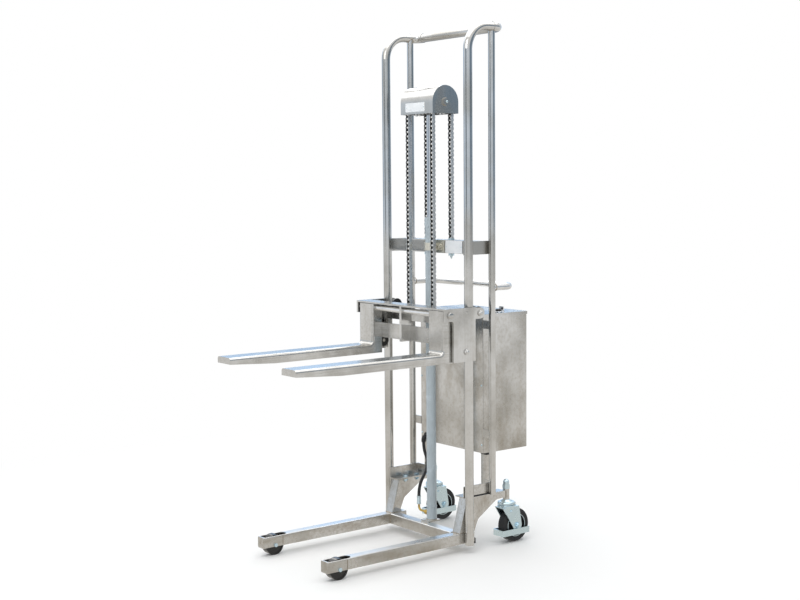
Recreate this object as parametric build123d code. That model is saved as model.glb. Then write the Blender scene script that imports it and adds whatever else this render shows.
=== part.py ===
"""Light stainless electric stacker: straddle legs, twin-tube mast, chain lift, carriage and forks.

Millimetres. Forks point to -Y, up is +Z, left is +X. Every piece is laid out in the mast frame, where
y = 0 is the axis of the front mast tubes, and is moved by MAST_Y when it is written, so that the origin
lies on the floor under the middle of the whole object.
"""
import math
import os

from build123d import *

# Clearances
FIT = 0.2              # welded or seated faces that would otherwise be curved contacts
RUN = 0.08             # radial running clearance of a shaft in its hole
GAP = 0.3              # between pieces that move past each other

# Legs and base crossbeam
LEG = 40.0             # square tube side
LEG_WALL = 3.0
LEG_RADIUS = 4.0       # outer corner radius
LEG_BOTTOM = 30.0      # underside above the floor
LEG_FRONT = 609.0      # front end ahead of the mast tubes
LEG_REAR = 37.0        # rear end behind the mast tubes
PLUG_FLANGE = 6.0      # buffer behind the leg
PLUG_H = 22.0          # its height
PLUG_DROP = 7.0        # its lower edge below the leg
PLUG_DEPTH = 18.0
BEAM_REAR = -2.0       # rear face of the crossbeam
SHELF = 5.0            # foot plate on the crossbeam that carries the cylinder
SHELF_LAP = 14.0       # its lap on the crossbeam
SHELF_MARGIN = 4.0     # its edge beyond the cylinder base

# Load rollers in the leg tips
ROLLER_D = 74.0
ROLLER_W = 30.0
ROLLER_Y = -559.0
SLOT_AHEAD = 44.0      # slot ahead of the roller axle
SLOT_BEHIND = 54.0     # slot behind it, to its round end
ROLLER_AXLE_D = 10.0
ROLLER_HEAD_D = 14.0
ROLLER_HEAD = 3.5
ROLLER_RECESS = 2.0
ROLLER_RIM = 6.0       # rim round the recess
ROLLER_HUB_D = 30.0

# Mast tubes
MAST_HALF = 236.5      # front tube axis from the middle plane
FRONT_OD = 32.0
REAR_OD = 25.0
TUBE_WALL = 2.0
MAST_DEPTH = 114.0     # rear tube axis behind the front tube axis
MAST_TOP = 1880.0      # axis height of the top run
TUBE_FOOT = 28.0
TOP_BEND = 85.0
TOP_REACH = 152.0      # axis of the top cross handle
TOP_ELBOW = 30.0       # elbow radius on its axis
ELBOW_OD = 35.0
ELBOW_LEAD = 8.0       # straight collar before each elbow
SADDLE_DROP = 6.0      # rear tube tip below the axis of the top run

# Sheet and plate
SHEET = 4.0
GUSSET_FOOT = -33.0    # front flange at the leg
GUSSET_HEAD = 2.0      # front flange at the top
GUSSET_TOP = 197.0
GUSSET_TAIL = 26.0     # web height at the caster
GUSSET_KNEE_Y = 146.0
GUSSET_WAIST_Y = 55.0
GUSSET_WAIST_Z = 112.0
GUSSET_ROUND = 22.0
FLANGE_W = 48.0        # inward width of the folded flanges
BASE_H = 42.0          # mast base web height
BASE_FRONT = -12.0
BASE_REAR = 130.0
BOLT_Y = (44.0, 100.0)
BOLT_D = 10.0
BOLT_AF = 17.0
BOLT_HEAD = 6.4
BOLT_TAIL = 4.0        # bolt end below its nut
BOLT_NUT = 8.4
BOLT_HOLE = 11.0

# Mast crossbar, clamp and chain anchors
BAR_Z = 1073.0
BAR_H = 48.0
BAR_FRONT = 46.0
BAR_REAR = 92.0
BAR_PLATE_FRONT = -8.0
BAR_PLATE_REAR = 122.0
CLAMP_H = 28.0
CLAMP_T = 4.0
CLAMP_EAR = 20.0
CLAMP_PLATE_HALF = 52.0
CLAMP_BOLT_AF = 13.0
CLAMP_BOLT_HEAD = 6.0
ANCHOR_D = 12.0
ANCHOR_TAIL = 20.0
ANCHOR_NUT_AF = 19.0
ANCHOR_NUT = 9.0
ANCHOR_EYE = 6.0       # least height of the block that joins a chain to its stud

# Rear push handle
HANDLE_Z = 953.0
HANDLE_REACH = 218.0   # axis of the grip behind the front tubes
HANDLE_BEND = 45.0

# Hydraulic cylinder
LIFT_Y = 17.5          # cylinder axis behind the front tubes
CYL_OD = 36.0
CYL_BORE = 30.0
CYL_BASE_OD = 38.0
CYL_BASE_TOP = 126.0
CYL_COLLAR = 0.8       # bevel round the base's top
CYL_TOP = 1192.0
GLAND_OD = 40.0
GLAND_SKIRT = 22.0
GLAND_TOP = 1204.0
NIPPLE_D = 8.0
NIPPLE = 9.0
ROD_D = 20.0
PISTON_H = 30.0
ROD_LAP = 90.0         # rod left in the tube at full height

# Lift
HEAD_UP = 400.0        # head travel above the rest height
FORK_TOP = 731.0       # top of the blades at rest

# Lift head, chain and sprockets
HEAD_AXLE_Z = 1620.0
COWL_R = 60.0
COWL_HALF = 93.0
COWL_SKIRT = 41.0
COWL_T = 3.0
HEAD_AXLE_D = 20.0
HEAD_NUT_AF = 27.0
HEAD_NUT = 8.0
BLOCK_HALF = 24.0
BLOCK_R = 22.0
BLOCK_DROP = 34.0
ROD_SOCKET = 14.0
CHAIN_X = 70.0
CHAIN_PITCH = 15.875
CHAIN_INNER = 12.0     # between the link plates
CHAIN_PLATE = 3.0
CHAIN_H = 14.4         # plate height at the pins
CHAIN_WAIST = 10.0
CHAIN_PIN_FLAT = 5.0
CHAIN_ROLLER_D = 10.0
TEETH = 17
TOOTH_W = 9.0
TOOTH_H = 5.0
HUB_D = 42.0
HUB_W = 30.0

# Carriage
PLATE_T = 8.0
PLATE_GAP = 1.5        # between a mast tube and a side plate
PLATE_FRONT = -91.0
PLATE_REAR = 10.0
PLATE_BOTTOM = 699.0
PLATE_TOP = 890.0
PLATE_HOLE_D = 7.0
PLATE_HOLE_Y = -29.0
PLATE_HOLE_DROP = 16.0 # hole below the top of the plate
EAR_FRONT = -130.0
EAR_BOTTOM = 845.0
EAR_NOTCH = 10.0
GUIDE_UPPER_Z = 868.0
GUIDE_LOWER_Z = 734.0
GUIDE_NECK = 16.0      # groove radius at its deepest
GUIDE_RIM = 22.5
GUIDE_HALF = 15.0
GUIDE_AXLE_D = 12.0
GUIDE_BOSS = 20.0
GUIDE_NUT_AF = 19.0
GUIDE_NUT = 6.0
TOP_PLATE_T = 6.0
TOP_PLATE_REAR = -72.0
LOWER_BAR_Z = 755.0
LOWER_BAR_H = 55.0
LOWER_BAR_T = 8.0
RIB_T = 12.0
RIB_FRONT = -124.0
FORK_ROD_D = 22.0
FORK_ROD_Y = -107.0
FORK_ROD_OVER = 6.0    # rod end outside a side plate
FORK_ROD_Z = 867.0
CHAIN_BAR_Z = 822.0
CHAIN_BAR_H = 28.0
CHAIN_BAR_FRONT = -42.0
CHAIN_BAR_REAR = -18.0
CHAIN_BAR_WALL = 3.0

# Forks
FORK_W = 84.0
FORK_SIDE = 5.5        # between a fork at rest and the side plate
SHANK_FRONT = -129.0
SHANK_D = 44.0
SHANK_TOP = 882.0
FORK_TIP = -743.0
FORK_KNEE = -560.0     # where the blade starts to thin out
BLADE = 34.0           # blade thickness up to the knee
BLADE_TIP = 23.0
FORK_BEND = 11.0       # inside radius at the heel
FORK_WALL = 5.0
FORK_EDGE = 9.0        # radius of the long upper edges

# Electric box
BOX_IN = 38.5          # box side inside the face where tubes and plates meet
BOX_FRONT = 114.0
BOX_REAR = 333.0
BOX_BOTTOM = 339.0
BOX_TOP = 849.0
BOX_WALL = 2.0
BOX_EDGE = 4.0
LID_SKIRT = 9.0
LID_EDGE = 4.0
POST_W = 30.0          # side of the angle posts
POST_T = 4.0
POST_FOOT_LAP = 34.0
STRAP_Z = (400.0, 800.0)
STRAP_H = 30.0
STRAP_T = 5.0
BATTERY_D = 172.0
BATTERY_H = 215.0
BATTERY_SIDE = 15.0    # between the battery and the box
BATTERY_GAP = 7.0      # between the battery and the tank
TERMINAL_D = 16.0
TERMINAL = 14.0
TANK = (92.0, 170.0, 190.0)
TANK_SIDE = 16.0       # between the tank and the box
VALVE = (80.0, 80.0, 50.0)
MOTOR_D = 84.0
MOTOR_H = 150.0
INNER_Y = 222.0

# Controls on the lid
BUTTON_D = 22.0
BUTTON_H = 9.0
BUTTON_LIFT = 4.0      # cap above the lid, and so its travel at most
BUTTON_STEM_D = 12.0
BUTTON_STEM = 18.0
BUTTON_IN = (24.0, 56.0)
BUTTON_Y = 212.0
KEY_IN = 40.0          # key, like the buttons, inside the box's left side
KEY_Y = 242.0
KEY_D = 18.0
KEY_BARREL_H = 5.0
KEY_STEM_D = 12.0
KEY_STEM = 20.0
KEY_BOW = (22.0, 4.0, 14.0)

# Hose from the box to the cylinder base
HOSE_D = 12.0
ELBOW_IN = 36.0        # elbow inside the box's right side
ELBOW_Z = 357.0
HOSE_ELBOW_D = 17.0
HOSE_ELBOW_R = 12.0
HOSE_FLANGE_D = 30.0
HOSE_FLANGE = 4.0
HOSE_STAND = 17.0      # hose axis ahead of the box
HOSE_START_Z = 336.0
FERRULE_X = -77.0
FERRULE_TOP = 150.0
FERRULE_H = 32.0
FERRULE_D = 16.0
PIPE_D = 8.0
PIPE_R = 14.0
PORT_Z = 96.0
PORT_NUT_AF = 17.0
PORT_NUT = 14.0
PORT_GAP = 3.0

# Casters
SLEEVE_IN = 8.5        # sleeve axis inside the outer face of the gusset's web
CASTER_Y = 200.0
CASTER_TRAIL = 35.0
SLEEVE_OD = 24.0
SLEEVE_LOW = 162.0
SLEEVE_TOP = 202.0
STEM_D = 16.0
STEM_NUT_AF = 24.0
STEM_NUT = 14.0
STEM_WASHER_D = 27.0
STEM_WASHER = 2.0
STEM_DOME = 11.5       # radius of the cap nut's dome
STEM_CAP = 8.5         # its straight part
RACE_D = 64.0
RACE_H = 17.0
RACE_EDGE = 10.0       # height of the race's rim
RACE_ROUND = 6.0       # radius round its top
RACE_NECK_D = 44.0
RACE_NECK_TOP_D = 28.0
CROWN_D = 64.0
CROWN_H = 13.0
CROWN_GROOVE = 3.0     # recess under the race
CROWN_NECK_D = 50.0
CROWN_ROUND = 2.0
YOKE_T = 4.0
YOKE_FRONT = 34.0      # top of a yoke leg ahead of the stem
YOKE_BACK = 44.0       # and behind it
YOKE_BEND = 3.0        # radius where a leg is folded down
YOKE_FOOT_W = 42.0
BRAKE_TAB = (22.0, 4.0, 16.0)
BRAKE_GAP = 1.5        # between the race and the brake tab
YOKE_SIDE = 3.0        # between the hub and a yoke leg
WHEEL_D = 125.0
WHEEL_W = 34.0
RIM_D = 86.0
HUB_BOSS_D = 34.0
RIM_DISH = 8.0
RIM_T = 3.0
WHEEL_AXLE_D = 12.0
WHEEL_BOLT_END = 4.0   # axle end beyond its nut
WHEEL_NUT_AF = 18.0
WHEEL_NUT = 8.0
GUARD_L = 132.0
GUARD_T = 4.0
GUARD_H = 22.5
GUARD_Z = 29.0
GUARD_AHEAD = 76.0     # guard's front ahead of the wheel axle
GUARD_ROUND = 6.0

# Places worked out from the sizes above
INNER_FACE = MAST_HALF - FRONT_OD / 2          # where tubes, legs and folded plates meet
REAR_X = INNER_FACE + REAR_OD / 2
LEG_X = INNER_FACE - LEG / 2
CASTER_X = INNER_FACE - SLEEVE_IN
LEG_TOP = LEG_BOTTOM + LEG
BEAM_FRONT = BEAM_REAR - LEG
BEAM_HALF = LEG_X - LEG / 2
SHELF_TOP = LEG_TOP + SHELF
WEB_IN = INNER_FACE - SHEET
FLANGE_IN = INNER_FACE - FLANGE_W
BASE_LOW = GUSSET_TOP
BASE_TOP = BASE_LOW + BASE_H
BAR_TOP = BAR_Z + BAR_H
PITCH_R = CHAIN_PITCH / 2 / math.sin(math.pi / TEETH)
CHAIN_FRONT_Y = LIFT_Y - PITCH_R
CHAIN_REAR_Y = LIFT_Y + PITCH_R
CHAIN_BAR_TOP = CHAIN_BAR_Z + CHAIN_BAR_H
FRONT_LINKS = int((HEAD_AXLE_Z - CHAIN_BAR_TOP - ANCHOR_EYE) / CHAIN_PITCH)
REAR_LINKS = int((HEAD_AXLE_Z - BAR_TOP - ANCHOR_EYE) / CHAIN_PITCH)
FRONT_END_Z = HEAD_AXLE_Z - FRONT_LINKS * CHAIN_PITCH
REAR_END_Z = HEAD_AXLE_Z - REAR_LINKS * CHAIN_PITCH
PLATE_IN = MAST_HALF + FRONT_OD / 2 + PLATE_GAP
PLATE_OUT = PLATE_IN + PLATE_T
GUIDE_OFFSET = FRONT_OD / 2 + GAP + GUIDE_NECK
FORK_X = PLATE_IN - FORK_SIDE - FORK_W / 2
SHANK_REAR = SHANK_FRONT + SHANK_D
BOX_HALF = INNER_FACE - BOX_IN
TANK_X = BOX_HALF - BOX_WALL - TANK_SIDE - TANK[0] / 2
BATTERY_LOW = BOX_WALL + BATTERY_SIDE - BOX_HALF
BATTERY_HIGH = TANK_X - TANK[0] / 2 - BATTERY_GAP
BUTTON_X = [BOX_HALF - inward for inward in BUTTON_IN]
KEY_X = BOX_HALF - KEY_IN
ELBOW_X = ELBOW_IN - BOX_HALF
LID_HALF = BOX_HALF + FIT + BOX_WALL
LID_TOP = BOX_TOP + BOX_WALL
CASTER_AXLE_Y = CASTER_Y + CASTER_TRAIL
CASTER_AXLE_Z = WHEEL_D / 2
YOKE_IN = WHEEL_W / 2 + YOKE_SIDE
YOKE_OUT = YOKE_IN + YOKE_T
GUARD_IN = YOKE_OUT + FIT
RACE_LOW = SLEEVE_LOW - RACE_H
CROWN_TOP = RACE_LOW - GAP
CROWN_LOW = CROWN_TOP - CROWN_H
GUARD_FRONT = CASTER_AXLE_Y - GUARD_AHEAD
HOSE_Y = BOX_FRONT - HOSE_STAND
REAR_REACH = BOX_REAR + FIT + BOX_WALL
MAST_Y = (-FORK_TIP - REAR_REACH) / 2

ON_BASE = (Align.CENTER, Align.CENTER, Align.MIN)


def span(x, y, z):
    """Box between three pairs of limits."""
    limits = (sorted(x), sorted(y), sorted(z))
    middle = [(low + high) / 2 for low, high in limits]
    size = [high - low for low, high in limits]
    return Pos(*middle) * Box(*size)


def round_bar(start, direction, length, diameter):
    """Round bar that starts at a point and runs along a direction."""
    return Plane(origin=start, z_dir=direction) * Cylinder(diameter / 2, length, align=ON_BASE)


def hex_bar(start, direction, length, across_flats):
    """Hexagonal bar that starts at a point and runs along a direction."""
    outline = RegularPolygon(across_flats / 2, 6, major_radius=False)
    return extrude(Plane(origin=start, z_dir=direction) * outline, length)


def side_plate(outline, x_from, x_to):
    """Plate across X from an outline whose points are (y, z)."""
    face = make_face(Polyline(*[(x_from, y, z) for y, z in outline], close=True))
    return extrude(face, x_to - x_from, dir=(1, 0, 0))


def bent_tube(points, bends, diameter, wall=None):
    """Tube along straight runs with tangent bends; without a wall it is a solid bar."""
    path = FilletPolyline(*points, radius=bends)
    section = Circle(diameter / 2)
    if wall:
        section -= Circle(diameter / 2 - wall)
    return sweep(Plane(origin=path @ 0, z_dir=path % 0) * section, path=path)


def square_tube(start, direction, length, wall):
    """Square tube of the leg section, on its axis."""
    section = RectangleRounded(LEG, LEG, LEG_RADIUS)
    inner = LEG - 2 * wall
    section -= RectangleRounded(inner, inner, max(LEG_RADIUS - wall, 0.5))
    return extrude(Plane(origin=start, x_dir=(0, 0, 1), z_dir=direction) * section, length)


def other_side(shape):
    """The same piece on the right side."""
    return mirror(shape, about=Plane.YZ)


def pair(shape):
    """A left and a right piece in one group."""
    return Compound(children=[*shape.solids(), *other_side(shape).solids()])


def group(shapes):
    """Separate solids that share one node."""
    return Compound(children=[solid for shape in shapes for solid in shape.solids()])


# Legs, crossbeam and load rollers

def leg():
    """Leg tube with a closed tip and a slot for the load roller."""
    axis_z = LEG_BOTTOM + LEG / 2
    tube = square_tube((LEG_X, LEG_REAR, axis_z), (0, -1, 0), LEG_REAR + LEG_FRONT, LEG_WALL)
    inner = LEG / 2 - LEG_WALL / 2
    tip = span((LEG_X - inner, LEG_X + inner), (-LEG_FRONT, LEG_WALL - LEG_FRONT),
               (axis_z - inner, axis_z + inner))
    half_slot = LEG / 2 - LEG_WALL
    slot_end = ROLLER_Y + SLOT_BEHIND - half_slot
    slot = span((LEG_X - half_slot, LEG_X + half_slot), (ROLLER_Y - SLOT_AHEAD, slot_end), (0, 2 * LEG_TOP))
    slot += round_bar((LEG_X, slot_end, 0), (0, 0, 1), 2 * LEG_TOP, 2 * half_slot)
    hole = round_bar((LEG_X - LEG, ROLLER_Y, ROLLER_D / 2), (1, 0, 0), 2 * LEG, ROLLER_AXLE_D + FIT)
    return tube + tip - slot - hole


def leg_plug():
    """Plastic end plug in the rear of a leg, with a low buffer."""
    axis_z = LEG_BOTTOM + LEG / 2
    inner = LEG - 2 * LEG_WALL - 2 * FIT
    buffer_z = LEG_BOTTOM - PLUG_DROP + PLUG_H / 2
    flange = Plane(origin=(LEG_X, LEG_REAR, buffer_z), x_dir=(1, 0, 0), z_dir=(0, 1, 0)) * RectangleRounded(
        LEG, PLUG_H, LEG_RADIUS)
    corner = max(LEG_RADIUS - LEG_WALL, 0.5) + FIT
    spigot = Plane(origin=(LEG_X, LEG_REAR, axis_z), z_dir=(0, -1, 0)) * RectangleRounded(
        inner, inner, corner)
    return extrude(flange, PLUG_FLANGE) + extrude(spigot, PLUG_DEPTH)


def crossbeam():
    """Square tube between the legs, with the foot plate for the cylinder welded on it."""
    middle = (BEAM_FRONT + BEAM_REAR) / 2
    start = (-BEAM_HALF, middle, LEG_BOTTOM + LEG / 2)
    tube = square_tube(start, (1, 0, 0), 2 * BEAM_HALF, LEG_WALL)
    half = CYL_BASE_OD / 2 + SHELF_MARGIN
    shelf = span((-half, half), (BEAM_REAR - SHELF_LAP, LIFT_Y + half), (LEG_TOP, SHELF_TOP))
    return tube + shelf


def load_roller():
    """Nylon load roller with a hub ring on each face."""
    roller = Cylinder(ROLLER_D / 2, ROLLER_W)
    ring = Circle(ROLLER_D / 2 - ROLLER_RIM) - Circle(ROLLER_HUB_D / 2)
    for side in (-1, 1):
        place = Pos(0, 0, side * (ROLLER_W / 2 - ROLLER_RECESS / 2))
        roller -= place * extrude(ring, ROLLER_RECESS / 2, both=True)
    roller -= Cylinder(ROLLER_AXLE_D / 2 + RUN, ROLLER_W)
    return Plane(origin=(LEG_X, ROLLER_Y, ROLLER_D / 2), z_dir=(1, 0, 0)) * roller


def roller_axle():
    """Axle through the leg with a button head on each side."""
    start = LEG_X - LEG / 2
    axle = round_bar((start, ROLLER_Y, ROLLER_D / 2), (1, 0, 0), LEG, ROLLER_AXLE_D)
    inner_head = round_bar((start, ROLLER_Y, ROLLER_D / 2), (-1, 0, 0), ROLLER_HEAD, ROLLER_HEAD_D)
    outer_head = round_bar((start + LEG, ROLLER_Y, ROLLER_D / 2), (1, 0, 0), ROLLER_HEAD, ROLLER_HEAD_D)
    return axle + inner_head + outer_head


# Gussets and mast bases

def bolt_holes(low, high):
    """Bolt holes through the folded flanges of the left side."""
    x = (FLANGE_IN + WEB_IN) / 2
    return [round_bar((x, y, low), (0, 0, 1), high - low, BOLT_HOLE) for y in BOLT_Y]


def gusset():
    """Folded gusset: sloped front flange, outer web and top flange, welded to the caster's sleeve."""
    rise = GUSSET_TOP - LEG_TOP
    lean = GUSSET_HEAD - GUSSET_FOOT
    thick = SHEET * math.hypot(rise, lean) / rise
    under = GUSSET_TOP - SHEET
    web = Polyline((GUSSET_FOOT, LEG_TOP), (GUSSET_HEAD, GUSSET_TOP), (CASTER_Y, GUSSET_TOP),
                   (CASTER_Y, GUSSET_TOP - GUSSET_TAIL), (GUSSET_KNEE_Y, GUSSET_TOP - GUSSET_TAIL),
                   (GUSSET_WAIST_Y, GUSSET_WAIST_Z), (LEG_REAR, LEG_TOP), close=True)
    web_face = make_face(web)
    rounded = [corner for corner in web_face.vertices()
               if corner.X in (GUSSET_KNEE_Y, GUSSET_WAIST_Y)]
    web_face = fillet(rounded, GUSSET_ROUND)
    on_web = Plane(origin=(WEB_IN, 0, 0), x_dir=(0, 1, 0), z_dir=(1, 0, 0))
    plate = extrude(on_web * web_face, SHEET)
    fold = [(GUSSET_FOOT, LEG_TOP), (GUSSET_HEAD, GUSSET_TOP), (CASTER_Y, GUSSET_TOP), (CASTER_Y, under),
            (GUSSET_FOOT + thick + lean * (under - LEG_TOP) / rise, under), (GUSSET_FOOT + thick, LEG_TOP)]
    flange_in = max(FLANGE_IN, LEG_X - LEG / 2)
    plate += side_plate(fold, flange_in, WEB_IN + SHEET / 2)
    corner = span((0, CASTER_X - SLEEVE_OD / 2), (CASTER_Y - SLEEVE_OD / 2, CASTER_Y), (under, GUSSET_TOP))
    plate -= corner
    plate += round_bar((CASTER_X, CASTER_Y, SLEEVE_LOW), (0, 0, 1), SLEEVE_TOP - SLEEVE_LOW, SLEEVE_OD)
    bore = round_bar((CASTER_X, CASTER_Y, 0), (0, 0, 1), 2 * SLEEVE_TOP, STEM_D + FIT)
    return plate - bore - bolt_holes(LEG_TOP, 2 * GUSSET_TOP)


def mast_base():
    """Folded tray that carries the rear tube and the box post: web, bottom flange and rear flange."""
    web = span((WEB_IN, INNER_FACE), (BASE_FRONT, BASE_REAR), (BASE_LOW, BASE_TOP))
    floor = span((FLANGE_IN, WEB_IN), (BASE_FRONT, BASE_REAR), (BASE_LOW, BASE_LOW + SHEET))
    back = span((FLANGE_IN, WEB_IN), (BASE_REAR - SHEET, BASE_REAR), (BASE_LOW, BASE_TOP))
    return web + floor + back - bolt_holes(0, 2 * BASE_TOP)


def base_bolt(y):
    """Hexagon bolt with its nut, through the mast base and the gusset."""
    x = (FLANGE_IN + WEB_IN) / 2
    top = BASE_LOW + SHEET
    low = GUSSET_TOP - SHEET
    tip = low - BOLT_NUT - BOLT_TAIL
    shank = round_bar((x, y, tip), (0, 0, 1), top - tip, BOLT_D)
    head = hex_bar((x, y, top), (0, 0, 1), BOLT_HEAD, BOLT_AF)
    nut = hex_bar((x, y, low), (0, 0, -1), BOLT_NUT, BOLT_AF)
    return shank + head + nut


# Mast

def mast_tube():
    """Front tube that bends rearward at the top."""
    end = TOP_REACH - TOP_ELBOW - ELBOW_LEAD
    points = [(MAST_HALF, 0, TUBE_FOOT), (MAST_HALF, 0, MAST_TOP), (MAST_HALF, end, MAST_TOP)]
    return bent_tube(points, TOP_BEND, FRONT_OD - FIT, TUBE_WALL)


def rear_tube():
    """Rear tube from the mast base to the underside of the top run."""
    height = MAST_TOP - SADDLE_DROP - BASE_LOW
    tube = round_bar((REAR_X, MAST_DEPTH, BASE_LOW), (0, 0, 1), height, REAR_OD - FIT)
    bore = round_bar((REAR_X, MAST_DEPTH, BASE_LOW), (0, 0, 1), height, REAR_OD - FIT - 2 * TUBE_WALL)
    run = round_bar((MAST_HALF, 0, MAST_TOP), (0, 1, 0), 2 * MAST_DEPTH, FRONT_OD + FIT)
    collar_start = TOP_REACH - TOP_ELBOW - ELBOW_LEAD - GAP
    collar = round_bar((MAST_HALF, collar_start, MAST_TOP), (0, 1, 0), 2 * MAST_DEPTH, ELBOW_OD + 2 * FIT)
    return tube - bore - run - collar


def top_handle():
    """Cross tube over the mast with a fatter welded elbow at each end."""
    start = TOP_REACH - TOP_ELBOW - ELBOW_LEAD
    inner = MAST_HALF - TOP_ELBOW - ELBOW_LEAD
    points = [(MAST_HALF, start, MAST_TOP), (MAST_HALF, TOP_REACH, MAST_TOP), (inner, TOP_REACH, MAST_TOP)]
    elbow = bent_tube(points, TOP_ELBOW, ELBOW_OD, (ELBOW_OD - FRONT_OD) / 2 + TUBE_WALL)
    grip = round_bar((-inner, TOP_REACH, MAST_TOP), (1, 0, 0), 2 * inner, FRONT_OD)
    grip -= round_bar((-inner, TOP_REACH, MAST_TOP), (1, 0, 0), 2 * inner, FRONT_OD - 2 * TUBE_WALL)
    return elbow + other_side(elbow) + grip


def mast_crossbar():
    """Channel that opens forward, with an end plate along the tubes on each side."""
    web = span((-WEB_IN, WEB_IN), (BAR_REAR - SHEET, BAR_REAR), (BAR_Z, BAR_TOP))
    upper = span((-WEB_IN, WEB_IN), (BAR_FRONT, BAR_REAR), (BAR_TOP - SHEET, BAR_TOP))
    lower = span((-WEB_IN, WEB_IN), (BAR_FRONT, BAR_REAR), (BAR_Z, BAR_Z + SHEET))
    end = span((WEB_IN, INNER_FACE), (BAR_PLATE_FRONT, BAR_PLATE_REAR), (BAR_Z, BAR_TOP))
    holes = [round_bar((x, CHAIN_REAR_Y, 0), (0, 0, 1), 2 * BAR_TOP, ANCHOR_D + FIT)
             for x in (-CHAIN_X, CHAIN_X)]
    return web + upper + lower + end + other_side(end) - holes


def cylinder_clamp():
    """Plate across the channel and a strap that holds the cylinder against it."""
    plate = span((-CLAMP_PLATE_HALF, CLAMP_PLATE_HALF), (BAR_FRONT - SHEET, BAR_FRONT), (BAR_Z, BAR_TOP))
    face = BAR_FRONT - SHEET
    inner = CYL_OD / 2 + FIT
    outer = inner + CLAMP_T
    low = (BAR_Z + BAR_TOP - CLAMP_H) / 2
    ring = Pos(0, LIFT_Y) * Circle(outer)
    sides = Pos(0, (LIFT_Y + face) / 2) * Rectangle(2 * outer, face - LIFT_Y)
    ears = Pos(0, face - CLAMP_T / 2) * Rectangle(2 * (outer + CLAMP_EAR), CLAMP_T)
    hollow = Pos(0, LIFT_Y) * Circle(inner)
    hollow += Pos(0, (LIFT_Y + face) / 2) * Rectangle(2 * inner, face - LIFT_Y)
    strap = Pos(0, 0, low) * extrude(ring + sides + ears - hollow, CLAMP_H)
    x = outer + CLAMP_EAR / 2
    z = low + CLAMP_H / 2
    heads = [hex_bar((side * x, face - CLAMP_T, z), (0, -1, 0), CLAMP_BOLT_HEAD, CLAMP_BOLT_AF)
             for side in (-1, 1)]
    return plate + strap + heads


def chain_anchor():
    """Anchor of a rear chain strand: clevis head, stud through the channel and a nut with a cone end."""
    half = CHAIN_INNER / 2 + CHAIN_PLATE
    low = BAR_Z - ANCHOR_NUT
    clevis = span((CHAIN_X - half, CHAIN_X + half),
                  (CHAIN_REAR_Y - CHAIN_H / 2, CHAIN_REAR_Y + CHAIN_H / 2), (BAR_TOP, REAR_END_Z))
    stud = round_bar((CHAIN_X, CHAIN_REAR_Y, low), (0, 0, 1), BAR_TOP - low, ANCHOR_D)
    nut = hex_bar((CHAIN_X, CHAIN_REAR_Y, BAR_Z), (0, 0, -1), ANCHOR_NUT, ANCHOR_NUT_AF)
    cone = Plane(origin=(CHAIN_X, CHAIN_REAR_Y, low), z_dir=(0, 0, -1)) * Cone(
        ANCHOR_D / 2, ANCHOR_D / 6, ANCHOR_TAIL - ANCHOR_NUT, align=ON_BASE)
    return clevis + stud + nut + cone


def push_handle():
    """U tube behind the rear tubes, cut to their round faces."""
    points = [(REAR_X, MAST_DEPTH, HANDLE_Z), (REAR_X, HANDLE_REACH, HANDLE_Z),
              (-REAR_X, HANDLE_REACH, HANDLE_Z), (-REAR_X, MAST_DEPTH, HANDLE_Z)]
    tube = bent_tube(points, HANDLE_BEND, REAR_OD, TUBE_WALL)
    posts = [round_bar((x, MAST_DEPTH, HANDLE_Z - REAR_OD), (0, 0, 1), 2 * REAR_OD, REAR_OD + FIT)
             for x in (-REAR_X, REAR_X)]
    return tube - posts


# Hydraulic cylinder

def cylinder_tube():
    """Cylinder barrel, welded on a thicker closed base with the oil port."""
    base = round_bar((0, LIFT_Y, SHELF_TOP), (0, 0, 1), CYL_BASE_TOP - SHELF_TOP, CYL_BASE_OD)
    base = chamfer(base.edges().filter_by(GeomType.CIRCLE).sort_by(Axis.Z)[-1], CYL_COLLAR)
    height = CYL_TOP - CYL_BASE_TOP
    tube = round_bar((0, LIFT_Y, CYL_BASE_TOP), (0, 0, 1), height, CYL_OD)
    tube -= round_bar((0, LIFT_Y, CYL_BASE_TOP), (0, 0, 1), height, CYL_BORE)
    port = round_bar((-CYL_BASE_OD, LIFT_Y, PORT_Z), (1, 0, 0), CYL_BASE_OD, PIPE_D)
    return base + tube - port


def cylinder_gland():
    """Gland nut over the end of the tube, with a bleed nipple on its side."""
    low = CYL_TOP - GLAND_SKIRT
    nut = round_bar((0, LIFT_Y, low), (0, 0, 1), GLAND_TOP - low, GLAND_OD)
    z = low + GLAND_SKIRT / 2
    nut += round_bar((0, LIFT_Y, z), (-1, 0, 0), GLAND_OD / 2 + NIPPLE, NIPPLE_D)
    nut -= round_bar((0, LIFT_Y, low), (0, 0, 1), GLAND_SKIRT, CYL_OD + FIT)
    return nut - round_bar((0, LIFT_Y, low), (0, 0, 1), GLAND_TOP, ROD_D + 2 * RUN)


def piston_rod():
    """Chromed rod with its piston; its top sits in the head block."""
    low = GLAND_TOP - HEAD_UP - ROD_LAP
    top = HEAD_AXLE_Z - BLOCK_DROP + ROD_SOCKET
    rod = round_bar((0, LIFT_Y, low), (0, 0, 1), top - low, ROD_D)
    return rod + round_bar((0, LIFT_Y, low), (0, 0, 1), PISTON_H, CYL_BORE - 2 * RUN)


# Lift head

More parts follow.
